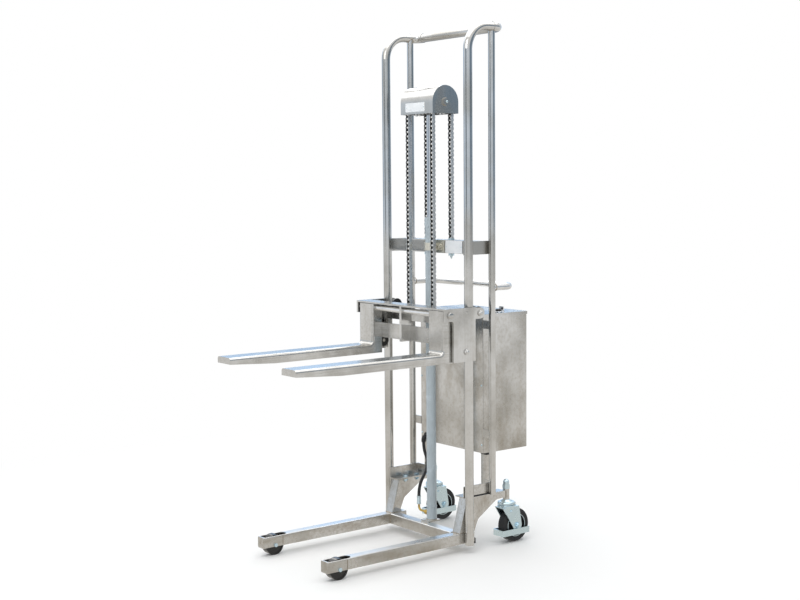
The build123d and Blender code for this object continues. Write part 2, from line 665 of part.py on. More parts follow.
def head_block():
    """Block on top of the rod, round about the axle."""
    middle = (LIFT_Y, HEAD_AXLE_Z)
    low = HEAD_AXLE_Z - BLOCK_DROP
    body = span((-BLOCK_HALF, BLOCK_HALF), (LIFT_Y - BLOCK_R, LIFT_Y + BLOCK_R), (low, HEAD_AXLE_Z))
    body += round_bar((-BLOCK_HALF, *middle), (1, 0, 0), 2 * BLOCK_HALF, 2 * BLOCK_R)
    body -= round_bar((-BLOCK_HALF, *middle), (1, 0, 0), 2 * BLOCK_HALF, HEAD_AXLE_D + FIT)
    return body - round_bar((0, LIFT_Y, low), (0, 0, 1), ROD_SOCKET, ROD_D + FIT)


def head_axle():
    """Axle through the cowl with a head and a nut outside it."""
    axle = round_bar((-COWL_HALF, LIFT_Y, HEAD_AXLE_Z), (1, 0, 0), 2 * COWL_HALF, HEAD_AXLE_D)
    ends = [hex_bar((side * COWL_HALF, LIFT_Y, HEAD_AXLE_Z), (side, 0, 0), HEAD_NUT, HEAD_NUT_AF)
            for side in (-1, 1)]
    return axle + ends


def cowl_body(radius, half):
    """Half-round body with straight skirts."""
    low = HEAD_AXLE_Z - COWL_SKIRT
    body = round_bar((-half, LIFT_Y, HEAD_AXLE_Z), (1, 0, 0), 2 * half, 2 * radius)
    body &= span((-half, half), (LIFT_Y - radius, LIFT_Y + radius), (HEAD_AXLE_Z, HEAD_AXLE_Z + radius))
    return body + span((-half, half), (LIFT_Y - radius, LIFT_Y + radius), (low, HEAD_AXLE_Z))


def head_cowl():
    """Sheet cowl, open below, with end plates that carry the axle."""
    shell = cowl_body(COWL_R, COWL_HALF) - cowl_body(COWL_R - COWL_T, COWL_HALF - COWL_T)
    hole = round_bar((-COWL_HALF, LIFT_Y, HEAD_AXLE_Z), (1, 0, 0), 2 * COWL_HALF, HEAD_AXLE_D + FIT)
    return shell - hole


def sprocket():
    """Chain sprocket with trapezoid teeth whose gaps sit on the chain's pins, and a hub."""
    root = PITCH_R - CHAIN_ROLLER_D / 2 - FIT
    tip = root + CHAIN_ROLLER_D / 2 + TOOTH_H / 2
    step = 2 * math.pi / TEETH
    outline = []
    for tooth in range(TEETH):
        for share, radius in ((-0.32, root), (-0.12, tip), (0.12, tip), (0.32, root)):
            angle = (tooth + 0.5 + share) * step
            outline.append((radius * math.cos(angle), radius * math.sin(angle)))
    wheel = extrude(make_face(Polyline(*outline, close=True)), TOOTH_W / 2, both=True)
    wheel += Cylinder(HUB_D / 2, HUB_W)
    wheel -= Cylinder(HEAD_AXLE_D / 2 + RUN, HUB_W)
    return Plane(origin=(CHAIN_X, LIFT_Y, HEAD_AXLE_Z), x_dir=(0, 1, 0), z_dir=(1, 0, 0)) * wheel


# Roller chain

def chain_sides():
    """Limits in X of the two rows of link plates, about the chain's middle."""
    inner = CHAIN_INNER / 2
    return ((-inner - CHAIN_PLATE, -inner), (inner, inner + CHAIN_PLATE))


def chain_strand(y, low, links, phase):
    """Straight strand: two rows of waisted link plates with a roller at each pin.

    The sprocket has an odd number of teeth, so the pins of its two strands are half a pitch apart."""
    edge = []
    for link in range(links):
        pin = low + link * CHAIN_PITCH
        edge.append((CHAIN_H / 2, pin))
        edge.append((CHAIN_H / 2, pin + CHAIN_PIN_FLAT / 2))
        edge.append((CHAIN_WAIST / 2, pin + CHAIN_PITCH / 2))
        edge.append((CHAIN_H / 2, pin + CHAIN_PITCH - CHAIN_PIN_FLAT / 2))
    edge.append((CHAIN_H / 2, low + links * CHAIN_PITCH))
    edge = [edge[0]] + [point for point in edge[1:-1] if (point[1] - low) % CHAIN_PITCH] + [edge[-1]]
    outline = [(y + half, z) for half, z in edge] + [(y - half, z) for half, z in reversed(edge)]
    rows = [side_plate(outline, CHAIN_X + left, CHAIN_X + right) for left, right in chain_sides()]
    flats = CHAIN_ROLLER_D * math.cos(math.pi / 6)
    pins = [hex_bar((CHAIN_X - CHAIN_INNER / 2, y, low + (pin + phase) * CHAIN_PITCH), (1, 0, 0),
                    CHAIN_INNER, flats) for pin in range(links) if pin + phase > 0]
    return Part() + rows + pins


def chain_wrap():
    """Link plates of the chain that lies over the sprocket."""
    outer = PITCH_R + CHAIN_H / 2
    inner = PITCH_R - CHAIN_H / 2
    steps = TEETH // 2
    angles = [math.pi * step / steps for step in range(steps + 1)]
    outline = [(LIFT_Y + outer * math.cos(a), HEAD_AXLE_Z + outer * math.sin(a)) for a in angles]
    outline += [(LIFT_Y + inner * math.cos(a), HEAD_AXLE_Z + inner * math.sin(a)) for a in reversed(angles)]
    return group([side_plate(outline, CHAIN_X + left, CHAIN_X + right) for left, right in chain_sides()])


# Carriage

def stub_axle(y, z):
    """Stub axle of a guide roller, with its nut outside the side plate."""
    inner = MAST_HALF - GUIDE_HALF
    axle = round_bar((inner, y, z), (1, 0, 0), PLATE_OUT - inner, GUIDE_AXLE_D)
    return axle + hex_bar((PLATE_OUT, y, z), (1, 0, 0), GUIDE_NUT, GUIDE_NUT_AF)


def carriage_plate():
    """Side plate with its ear for the fork rod, a boss behind the tube and two stub axles."""
    outline = [(PLATE_FRONT, PLATE_BOTTOM), (PLATE_REAR, PLATE_BOTTOM), (PLATE_REAR, PLATE_TOP),
               (EAR_FRONT, PLATE_TOP), (EAR_FRONT, EAR_BOTTOM), (PLATE_FRONT, EAR_BOTTOM)]
    face = make_face(Polyline(*outline, close=True))
    notch = [corner for corner in face.vertices() if corner.X == PLATE_FRONT and corner.Y == EAR_BOTTOM]
    face = fillet(notch, EAR_NOTCH)
    face += Pos(GUIDE_OFFSET, GUIDE_UPPER_Z) * Circle(GUIDE_BOSS)
    face += Pos((PLATE_REAR + GUIDE_OFFSET) / 2, GUIDE_UPPER_Z) * Rectangle(
        GUIDE_OFFSET - PLATE_REAR, 2 * GUIDE_BOSS)
    on_plate = Plane(origin=(PLATE_IN, 0, 0), x_dir=(0, 1, 0), z_dir=(1, 0, 0))
    plate = extrude(on_plate * face, PLATE_T)
    plate -= round_bar((PLATE_IN, FORK_ROD_Y, FORK_ROD_Z), (1, 0, 0), PLATE_T, FORK_ROD_D + FIT)
    hole_z = PLATE_TOP - PLATE_HOLE_DROP
    plate -= round_bar((PLATE_IN, PLATE_HOLE_Y, hole_z), (1, 0, 0), PLATE_T, PLATE_HOLE_D)
    return plate + stub_axle(GUIDE_OFFSET, GUIDE_UPPER_Z) + stub_axle(-GUIDE_OFFSET, GUIDE_LOWER_Z)


def guide_roller(y, z):
    """Guide roller whose round groove runs on a front tube."""
    groove = FRONT_OD / 2 + GAP
    profile = Pos(0, GUIDE_RIM / 2) * Rectangle(2 * GUIDE_HALF, GUIDE_RIM)
    profile -= Pos(0, GUIDE_OFFSET) * Circle(groove)
    bore = GUIDE_AXLE_D / 2 + RUN
    profile -= Pos(0, bore / 2) * Rectangle(2 * GUIDE_HALF, bore)
    roller = revolve(profile, Axis.X)
    return Pos(MAST_HALF, y, z) * roller


def carriage_top():
    """Plate over the shanks, between the side plates."""
    return span((-PLATE_IN, PLATE_IN), (EAR_FRONT, TOP_PLATE_REAR), (PLATE_TOP - TOP_PLATE_T, PLATE_TOP))


def carriage_lower_bar():
    """Bar that the shanks lean on, with the rib that holds the middle of the fork rod."""
    front = SHANK_REAR + GAP
    bar = span((-PLATE_IN, PLATE_IN), (front, front + LOWER_BAR_T), (LOWER_BAR_Z, LOWER_BAR_Z + LOWER_BAR_H))
    top = PLATE_TOP - TOP_PLATE_T
    rib = span((-RIB_T / 2, RIB_T / 2), (RIB_FRONT, front + LOWER_BAR_T), (LOWER_BAR_Z, top))
    eye = round_bar((-RIB_T, FORK_ROD_Y, FORK_ROD_Z), (1, 0, 0), 2 * RIB_T, FORK_ROD_D + FIT)
    return bar + rib - eye


def fork_rod():
    """Rod that the forks hang on, through both side plates."""
    reach = PLATE_OUT + FORK_ROD_OVER
    rod = round_bar((-reach, FORK_ROD_Y, FORK_ROD_Z), (1, 0, 0), 2 * reach, FORK_ROD_D)
    return chamfer(rod.edges().filter_by(GeomType.CIRCLE), 1)


def chain_bar():
    """Tube across the carriage with a clevis and a nut for each front chain strand."""
    low = CHAIN_BAR_Z
    top = CHAIN_BAR_TOP
    wall = CHAIN_BAR_WALL
    bar = span((-PLATE_IN, PLATE_IN), (CHAIN_BAR_FRONT, CHAIN_BAR_REAR), (low, top))
    bar -= span((-PLATE_IN, PLATE_IN), (CHAIN_BAR_FRONT + wall, CHAIN_BAR_REAR - wall),
                (low + wall, top - wall))
    half = CHAIN_INNER / 2 + CHAIN_PLATE
    for x in (-CHAIN_X, CHAIN_X):
        bar += span((x - half, x + half), (CHAIN_FRONT_Y - CHAIN_H / 2, CHAIN_FRONT_Y + CHAIN_H / 2),
                    (top, FRONT_END_Z))
        bar += round_bar((x, CHAIN_FRONT_Y, low - ANCHOR_NUT), (0, 0, 1), FRONT_END_Z - low, ANCHOR_D)
        bar += hex_bar((x, CHAIN_FRONT_Y, low), (0, 0, -1), ANCHOR_NUT, ANCHOR_NUT_AF)
    return bar


# Forks

def fork_outline(inset):
    """Side outline of a fork as (y, z), drawn in by inset but open below."""
    low = FORK_TOP - BLADE
    return [(SHANK_REAR - inset, low), (SHANK_REAR - inset, SHANK_TOP - inset),
            (SHANK_FRONT + inset, SHANK_TOP - inset), (SHANK_FRONT + inset, FORK_TOP - inset),
            (FORK_TIP + inset, FORK_TOP - inset), (FORK_TIP + inset, FORK_TOP - BLADE_TIP), (FORK_KNEE, low)]


def fork():
    """Fork folded from plate: hook-on shank and tapered blade, open below."""
    low, high = FORK_X - FORK_W / 2, FORK_X + FORK_W / 2
    body = side_plate(fork_outline(0), low, high)
    heel = [edge for edge in body.edges().filter_by(Axis.X)
            if abs(edge.center().Z - FORK_TOP) < 1 and abs(edge.center().Y - SHANK_FRONT) < 1]
    body = fillet(heel, FORK_BEND)
    long_edges = [edge for edge in body.edges().filter_by(Axis.Y)
                  if abs(edge.center().Z - FORK_TOP) < 1]
    tall_edges = [edge for edge in body.edges().filter_by(Axis.Z)
                  if edge.center().Z > FORK_TOP and abs(edge.center().Y - SHANK_FRONT) < 1]
    bends = [edge for edge in body.edges().filter_by(GeomType.CIRCLE) if edge.radius > FORK_BEND - 0.1]
    body = fillet(long_edges + tall_edges + bends, FORK_EDGE)
    body -= side_plate(fork_outline(FORK_WALL), low + FORK_WALL, high - FORK_WALL)
    return body - round_bar((low, FORK_ROD_Y, FORK_ROD_Z), (1, 0, 0), FORK_W, FORK_ROD_D + 2 * RUN)


# Electric box

def box_shell():
    """Sheet box, open on top, with a hole for the hose elbow."""
    shell = span((-BOX_HALF, BOX_HALF), (BOX_FRONT, BOX_REAR), (BOX_BOTTOM, BOX_TOP))
    shell = fillet(shell.edges().filter_by(Axis.Z), BOX_EDGE)
    inner = span((BOX_WALL - BOX_HALF, BOX_HALF - BOX_WALL), (BOX_FRONT + BOX_WALL, BOX_REAR - BOX_WALL),
                 (BOX_BOTTOM + BOX_WALL, BOX_TOP))
    hole = round_bar((ELBOW_X, BOX_FRONT, ELBOW_Z), (0, 1, 0), BOX_WALL, HOSE_D)
    return shell - inner - hole


def box_lid():
    """Lid with a skirt round the box and holes for the controls."""
    front = BOX_FRONT - FIT - BOX_WALL
    lid = span((-LID_HALF, LID_HALF), (front, REAR_REACH), (BOX_TOP - LID_SKIRT, LID_TOP))
    lid = fillet(lid.edges().filter_by(Axis.Z), LID_EDGE)
    inner = span((BOX_WALL - LID_HALF, LID_HALF - BOX_WALL), (front + BOX_WALL, REAR_REACH - BOX_WALL),
                 (BOX_TOP - LID_SKIRT, BOX_TOP))
    lid -= inner
    stems = [(x, BUTTON_Y, BUTTON_STEM_D) for x in BUTTON_X] + [(KEY_X, KEY_Y, KEY_STEM_D)]
    for x, y, diameter in stems:
        lid -= round_bar((x, y, BOX_TOP), (0, 0, 1), BOX_WALL, diameter + 2 * RUN)
    return lid


def box_post():
    """Angle post from the mast base to the box."""
    foot = BASE_TOP - POST_FOOT_LAP
    side = BOX_HALF - POST_T
    along = span((side, BOX_HALF), (BASE_REAR, BASE_REAR + POST_W), (foot, BOX_BOTTOM))
    across = span((BOX_HALF - POST_W, BOX_HALF), (BASE_REAR, BASE_REAR + POST_T), (foot, BOX_BOTTOM))
    return along + across


def box_strap(z):
    """Flat bar from a rear tube to the side of the box."""
    bar = span((BOX_HALF, REAR_X), (MAST_DEPTH, MAST_DEPTH + STRAP_T), (z, z + STRAP_H))
    tube = round_bar((REAR_X, MAST_DEPTH, z), (0, 0, 1), STRAP_H, REAR_OD + FIT)
    return bar - tube


def battery():
    """Traction battery on the floor of the box, with two terminals."""
    low = BOX_BOTTOM + BOX_WALL
    top = low + BATTERY_H
    half = BATTERY_D / 2
    body = span((BATTERY_LOW, BATTERY_HIGH), (INNER_Y - half, INNER_Y + half), (low, top))
    inset = (BATTERY_HIGH - BATTERY_LOW) / 6
    for x in (BATTERY_LOW + inset, BATTERY_HIGH - inset):
        body += round_bar((x, INNER_Y - BATTERY_D / 3, top), (0, 0, 1), TERMINAL, TERMINAL_D)
    return body


def pump_unit():
    """Oil tank with the valve block and the motor on top."""
    low = BOX_BOTTOM + BOX_WALL
    tank_top = low + TANK[2]
    valve_top = tank_top + VALVE[2]
    body = Pos(TANK_X, INNER_Y, low + TANK[2] / 2) * Box(*TANK)
    body += Pos(TANK_X, INNER_Y, tank_top + VALVE[2] / 2) * Box(*VALVE)
    return body + round_bar((TANK_X, INNER_Y, valve_top), (0, 0, 1), MOTOR_H, MOTOR_D)


def push_button(x):
    """Mushroom push button above the lid, on a stem through it."""
    low = LID_TOP + BUTTON_LIFT
    cap = round_bar((x, BUTTON_Y, low), (0, 0, 1), BUTTON_H, BUTTON_D)
    cap = fillet(cap.edges().sort_by(Axis.Z)[-1], BUTTON_H / 3)
    return cap + round_bar((x, BUTTON_Y, low), (0, 0, -1), BUTTON_STEM, BUTTON_STEM_D)


def key_switch():
    """Key with its turning barrel."""
    low = LID_TOP + GAP
    barrel = round_bar((KEY_X, KEY_Y, low), (0, 0, 1), KEY_BARREL_H, KEY_D)
    barrel += round_bar((KEY_X, KEY_Y, low), (0, 0, -1), KEY_STEM, KEY_STEM_D)
    bow = Pos(KEY_X, KEY_Y, low + KEY_BARREL_H + KEY_BOW[2] / 2) * Box(*KEY_BOW)
    return barrel + bow


# Hose and its fittings

def hose_elbow():
    """Rubber elbow that lets the hose out of the box and turns it down."""
    face = BOX_FRONT - HOSE_FLANGE
    points = [(ELBOW_X, face, ELBOW_Z), (ELBOW_X, HOSE_Y, ELBOW_Z), (ELBOW_X, HOSE_Y, HOSE_START_Z)]
    elbow = bent_tube(points, HOSE_ELBOW_R, HOSE_ELBOW_D)
    return elbow + round_bar((ELBOW_X, BOX_FRONT, ELBOW_Z), (0, -1, 0), HOSE_FLANGE, HOSE_FLANGE_D)


def hose_route():
    """Points of the hose: down in front of the box, then a sweep inward to the ferrule."""
    across = ((0.0, 0.0), (0.0, -28.0), (0.03, -57.0), (0.14, -84.0), (0.37, -103.0), (0.66, -113.0),
              (0.89, -132.0), (1.0, -160.0), (1.0, -186.0))
    reach_x = FERRULE_X - ELBOW_X
    reach_y = LIFT_Y - HOSE_Y
    fall = (HOSE_START_Z - FERRULE_TOP) / 186.0
    return [(ELBOW_X + share * reach_x, HOSE_Y + share * reach_y, HOSE_START_Z + drop * fall)
            for share, drop in across]


def hydraulic_hose():
    """Hose along straight runs with the largest tangent arcs that fit."""
    points = [Vector(*point) for point in hose_route()]
    radii = []
    for before, here, after in zip(points, points[1:], points[2:]):
        turn = math.radians((here - before).get_angle(after - here))
        shorter = min((here - before).length, (after - here).length)
        radii.append(0.45 * shorter / math.tan(turn / 2))
    print("hose radii", [round(radius) for radius in radii])
    hose = bent_tube(points, radii, HOSE_D)
    path = FilletPolyline(*points, radius=radii)
    section = math.pi * HOSE_D ** 2 / 4
    ratio = hose.volume / section / path.length
    print("hose length", round(path.length, 1), "volume ratio", round(ratio, 4))
    return hose


def hose_fitting():
    """Crimped ferrule of the hose, and the bent pipe with its nut at the cylinder base."""
    low = FERRULE_TOP - FERRULE_H
    ferrule = round_bar((FERRULE_X, LIFT_Y, FERRULE_TOP), (0, 0, -1), FERRULE_H, FERRULE_D)
    nut_face = -CYL_BASE_OD / 2 - PORT_GAP
    nut_end = nut_face - PORT_NUT
    points = [(FERRULE_X, LIFT_Y, low), (FERRULE_X, LIFT_Y, PORT_Z), (nut_end, LIFT_Y, PORT_Z)]
    pipe = bent_tube(points, PIPE_R, PIPE_D)
    pipe += hex_bar((nut_end, LIFT_Y, PORT_Z), (1, 0, 0), PORT_NUT, PORT_NUT_AF)
    pipe += round_bar((nut_face, LIFT_Y, PORT_Z), (1, 0, 0), PORT_GAP + CYL_BASE_OD / 4, PIPE_D - FIT)
    return group([ferrule, pipe])


# Casters

def caster_stem():
    """Stem bolt with washer, nut and dome above the sleeve, and the upper race below it."""
    x, y = CASTER_X, CASTER_Y
    nut_low = SLEEVE_TOP + STEM_WASHER
    stem = round_bar((x, y, CROWN_LOW), (0, 0, 1), nut_low - CROWN_LOW, STEM_D)
    stem += round_bar((x, y, SLEEVE_TOP), (0, 0, 1), STEM_WASHER, STEM_WASHER_D)
    stem += hex_bar((x, y, nut_low), (0, 0, 1), STEM_NUT, STEM_NUT_AF)
    stem += round_bar((x, y, nut_low + STEM_NUT), (0, 0, 1), STEM_CAP, 2 * STEM_DOME)
    stem += Pos(x, y, nut_low + STEM_NUT + STEM_CAP) * Sphere(STEM_DOME)
    race = round_bar((x, y, RACE_LOW), (0, 0, 1), RACE_EDGE, RACE_D)
    race = fillet(race.edges().filter_by(GeomType.CIRCLE).sort_by(Axis.Z)[-1], RACE_ROUND)
    neck = Cone(RACE_NECK_D / 2, RACE_NECK_TOP_D / 2, RACE_H - RACE_EDGE, align=ON_BASE)
    return stem + race + Pos(x, y, RACE_LOW + RACE_EDGE) * neck


def caster_yoke():
    """Swivel crown with two broad folded legs, an upturned brake tab and the wheel axle."""
    x, y = CASTER_X, CASTER_Y
    disc = round_bar((x, y, CROWN_LOW), (0, 0, 1), CROWN_H - CROWN_GROOVE, CROWN_D)
    disc = fillet(disc.edges().filter_by(GeomType.CIRCLE).sort_by(Axis.Z)[-1], CROWN_ROUND)
    crown = disc + round_bar((x, y, CROWN_LOW), (0, 0, 1), CROWN_H, CROWN_NECK_D)
    top = span((x - YOKE_OUT, x + YOKE_OUT), (y - YOKE_FRONT, y + YOKE_BACK), (CROWN_LOW, CROWN_LOW + YOKE_T))
    folds = top.edges().filter_by(Axis.Y).sort_by(Axis.Z)[-2:]
    crown += fillet(folds, YOKE_BEND)
    head = CROWN_LOW + YOKE_T - YOKE_BEND
    face = make_hull(Polyline((y - YOKE_FRONT, head), (y + YOKE_BACK, head)).edges()
                     + (Pos(CASTER_AXLE_Y, CASTER_AXLE_Z) * Circle(YOKE_FOOT_W / 2)).edges())
    for side in (-1, 1):
        on_leg = Plane(origin=(x + side * YOKE_IN, 0, 0), x_dir=(0, 1, 0), z_dir=(1, 0, 0))
        crown += extrude(on_leg * face, side * YOKE_T)
    width, thick, height = BRAKE_TAB
    rear = y + RACE_D / 2 + BRAKE_GAP
    crown += span((x - width / 2, x + width / 2), (rear, rear + thick), (CROWN_LOW, CROWN_LOW + height))
    crown -= round_bar((x, y, CROWN_LOW), (0, 0, 1), CROWN_H, STEM_D + 2 * RUN)
    reach = YOKE_OUT + WHEEL_NUT + WHEEL_BOLT_END
    crown += round_bar((x - reach, CASTER_AXLE_Y, CASTER_AXLE_Z), (1, 0, 0), 2 * reach, WHEEL_AXLE_D)
    for side in (-1, 1):
        start = (x + side * YOKE_OUT, CASTER_AXLE_Y, CASTER_AXLE_Z)
        crown += hex_bar(start, (side, 0, 0), WHEEL_NUT, WHEEL_NUT_AF)
    return crown


def caster_guard():
    """Flat-bar foot guard, open to the rear, against the outer faces of the yoke legs."""
    outer = GUARD_IN + GUARD_T
    rear = GUARD_FRONT + GUARD_L
    inside = GUARD_FRONT + GUARD_T
    outline = [(CASTER_X + across, along) for across, along in (
        (-outer, rear), (-outer, GUARD_FRONT), (outer, GUARD_FRONT), (outer, rear),
        (GUARD_IN, rear), (GUARD_IN, inside), (-GUARD_IN, inside), (-GUARD_IN, rear))]
    loop = make_face(Polyline(*outline, close=True))
    corners = [corner for corner in loop.vertices() if abs(corner.Y - GUARD_FRONT) < GAP]
    loop = fillet(corners, GUARD_ROUND)
    return Pos(0, 0, GUARD_Z) * extrude(loop, GUARD_H)


def wheel_at(shape):
    """Put a wheel that was made about Z on the left caster's axle."""
    return Plane(origin=(CASTER_X, CASTER_AXLE_Y, CASTER_AXLE_Z), z_dir=(1, 0, 0)) * shape


def caster_wheel():
    """Dished wheel centre with a hub boss."""
    centre = Cylinder(RIM_D / 2, WHEEL_W)
    ring = Circle(RIM_D / 2 - RIM_T) - Circle(HUB_BOSS_D / 2)
    for side in (-1, 1):
        centre -= Pos(0, 0, side * (WHEEL_W - RIM_DISH) / 2) * extrude(ring, RIM_DISH / 2, both=True)
    return wheel_at(centre - Cylinder(WHEEL_AXLE_D / 2 + RUN, WHEEL_W))


def caster_tyre():
    """Rubber tyre with rounded shoulders."""
    tyre = Cylinder(WHEEL_D / 2, WHEEL_W)
    shoulders = [edge for edge in tyre.edges().filter_by(GeomType.CIRCLE)]
    tyre = fillet(shoulders, WHEEL_W / 6)
    return wheel_at(tyre - Cylinder(RIM_D / 2 + FIT / 2, WHEEL_W))


def both_sides(name, shape):
    """Left and right nodes of one piece."""
    return {f"{name}_left": shape, f"{name}_right": other_side(shape)}


def model():
    """Every node of the stacker in the mast frame."""
    bolts = group([base_bolt(y) for y in BOLT_Y])
    straps = group([box_strap(z) for z in STRAP_Z])
    nodes = {
        "base_crossbeam": crossbeam(), "leg_plugs": pair(leg_plug()), "roller_axles": pair(roller_axle()),
        "mast_bases": pair(mast_base()), "base_bolts": pair(bolts),
        "rear_tubes": pair(rear_tube()), "top_handle": top_handle(), "mast_crossbar": mast_crossbar(),
        "cylinder_clamp": cylinder_clamp(),
        "chain_anchors": pair(chain_anchor()), "push_handle": push_handle(), "box_shell": box_shell(),
        "box_lid": box_lid(), "box_posts": pair(box_post()), "box_straps": pair(straps),
        "battery": battery(), "pump_unit": pump_unit(), "hose_elbow": hose_elbow(),
        "hydraulic_hose": hydraulic_hose(), "hose_fitting": hose_fitting(),
        "cylinder_tube": cylinder_tube(), "cylinder_gland": cylinder_gland(),
        "caster_stems": pair(caster_stem()),
        "piston_rod": piston_rod(), "head_block": head_block(), "head_axle": head_axle(),
        "head_cowl": head_cowl(), "chain_sprockets": pair(sprocket()), "chain_wraps": pair(chain_wrap()),
        "front_chains": pair(chain_strand(CHAIN_FRONT_Y, FRONT_END_Z, FRONT_LINKS, 0.5)),
        "rear_chains": pair(chain_strand(CHAIN_REAR_Y, REAR_END_Z, REAR_LINKS, 0)),
        "upper_guide_rollers": pair(guide_roller(GUIDE_OFFSET, GUIDE_UPPER_Z)),
        "lower_guide_rollers": pair(guide_roller(-GUIDE_OFFSET, GUIDE_LOWER_Z)),
        "carriage_top": carriage_top(), "carriage_lower_bar": carriage_lower_bar(), "fork_rod": fork_rod(),
        "chain_bar": chain_bar(), "lift_button": push_button(BUTTON_X[0]),
        "lower_button": push_button(BUTTON_X[1]), "key_switch": key_switch(),
    }
    mirrored = {
        "leg": leg(), "load_roller": load_roller(), "gusset": gusset(), "mast_tube": mast_tube(),
        "carriage_plate": carriage_plate(), "fork": fork(),
        "caster_yoke": caster_yoke(), "caster_guard": caster_guard(), "caster_wheel": caster_wheel(),
        "caster_tyre": caster_tyre(),
    }
    for name, shape in mirrored.items():
        nodes.update(both_sides(name, shape))
    return nodes


if __name__ == "__main__":
    os.makedirs("parts", exist_ok=True)
    for node, solid in model().items():
        export_step(Pos(0, MAST_Y, 0) * solid, f"parts/{node}.step")
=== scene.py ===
import math

import bmesh
import bpy
import numpy as np
from mathutils import Matrix, Vector


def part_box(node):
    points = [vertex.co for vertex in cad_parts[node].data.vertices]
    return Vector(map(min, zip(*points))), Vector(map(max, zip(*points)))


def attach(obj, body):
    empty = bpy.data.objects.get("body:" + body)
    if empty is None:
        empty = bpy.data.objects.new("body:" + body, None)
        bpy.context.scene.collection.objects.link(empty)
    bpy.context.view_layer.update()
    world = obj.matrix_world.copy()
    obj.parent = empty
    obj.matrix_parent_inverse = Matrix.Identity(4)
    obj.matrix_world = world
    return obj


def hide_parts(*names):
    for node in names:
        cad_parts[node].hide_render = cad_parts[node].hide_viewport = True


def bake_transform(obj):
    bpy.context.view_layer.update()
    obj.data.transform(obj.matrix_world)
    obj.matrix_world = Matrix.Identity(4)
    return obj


bl_info = {
    "name": "Electric stacker",
    "version": (1, 0, 0),
    "blender": (4, 5, 0),
    "location": "View3D > Sidebar > Stacker",
    "description": "Finishes, chains, hose and small parts of a stainless electric stacker",
    "category": "Object",
}

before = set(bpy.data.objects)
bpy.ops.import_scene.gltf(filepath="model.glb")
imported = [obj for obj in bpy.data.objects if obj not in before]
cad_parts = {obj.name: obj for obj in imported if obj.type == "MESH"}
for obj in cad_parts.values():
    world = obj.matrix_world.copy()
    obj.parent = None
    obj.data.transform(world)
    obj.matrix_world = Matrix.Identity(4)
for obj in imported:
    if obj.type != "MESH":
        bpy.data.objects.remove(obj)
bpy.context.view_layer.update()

# Left and right, and the ways across the machine, along it, ahead of the forks and up.
SIDES = np.array([1.0, -1.0])
ACROSS = (1.0, 0.0, 0.0)
ALONG = (0.0, 1.0, 0.0)
AHEAD = (0.0, -1.0, 0.0)
UP = (0.0, 0.0, 1.0)

# Places on the frame in metres: the caster's swivel axis and axle, half the width of its yoke and
# wheel, the carriage's outer face, the fork rod's axis and the top of the box lid.
CASTER_X = 0.212
CASTER_AXLE = (0.4389, 0.0625)
YOKE_HALF = 0.024
WHEEL_HALF = 0.017
CARRIAGE_FACE = 0.2618
FORK_ROD = (0.0969, 0.867)
LID_TOP = 0.851

# Chain in metres: where its inner plates, outer plates and pin heads start and end on each side of
# its middle, and the radius of a pin head.
INNER_PLATE = np.array([0.0060, 0.0074])
OUTER_PLATE = np.array([0.0076, 0.0090])
PIN_HEAD = np.array([0.0089, 0.0102])
PIN_RADIUS = 0.0027

# A weld that goes round laps a little over its own start.
LAP = 2.06 * np.pi
# Edges below these angles in degrees are shaded smooth: on most pieces, and on small round trim.
PLAIN_EDGE = 35.0
ROUND_TRIM = 60.0
# Millimetres in a metre, for the scale of a pattern.
MM = 1000
# Colour inputs of a Mix node.
MIX_A, MIX_B = 6, 7
WHITE = (1.0, 1.0, 1.0)

# The low flag behind the object: the way to its middle, and the cosines where it starts and is full.
FAR_WAY = (-0.921, 0.384, 0.0)
FAR_WIDTH = (0.788, 0.927)

FINISHES = {}


def rgb(code):
    """Linear colour of an sRGB hex value."""
    channels = np.array([int(code[i:i + 2], 16) for i in (1, 3, 5)]) / 255
    linear = np.where(channels <= 0.04045, channels / 12.92, ((channels + 0.055) / 1.055) ** 2.4)
    return tuple(linear.tolist())


def length_setting(name, description, default):
    """Setting for a size in metres."""
    return bpy.props.FloatProperty(
        name=name, description=description, default=default, unit="LENGTH")


def angle_setting(name, description, degrees):
    """Setting for an angle given in degrees."""
    return bpy.props.FloatProperty(
        name=name, description=description, default=math.radians(degrees), subtype="ANGLE")


def colour_setting(name, description, code):
    """Setting for a colour given as an sRGB hex value."""
    return bpy.props.FloatVectorProperty(
        name=name, description=description, default=rgb(code), subtype="COLOR", size=3)


class StackerSizes(bpy.types.PropertyGroup):
    """Sizes of the pieces that are added to the frame."""

    pitch: length_setting("Chain pitch", "Distance between two pins of the roller chain", 0.015875)
    teeth: bpy.props.IntProperty(
        name="Sprocket teeth", description="Teeth of the sprocket under the chain", default=17)
    chain_x: length_setting("Chain offset", "Middle of a chain from the middle plane", 0.070)
    lift_y: length_setting("Lift axis", "Cylinder axis and sprocket axle in depth", 0.2214)
    axle_z: length_setting("Sprocket height", "Height of the sprocket axle", 1.620)
    plate_high: length_setting("Link height", "Height of a link plate at its pins", 0.0144)
    plate_waist: length_setting("Link waist", "Height of a link plate at its middle", 0.0100)
    roller: length_setting("Chain roller", "Diameter of a chain roller", 0.0100)
    roller_half: length_setting("Half roller", "Half the length of a chain roller", 0.0059)
    hose: length_setting("Hose", "Outside diameter of the hydraulic hose", 0.012)


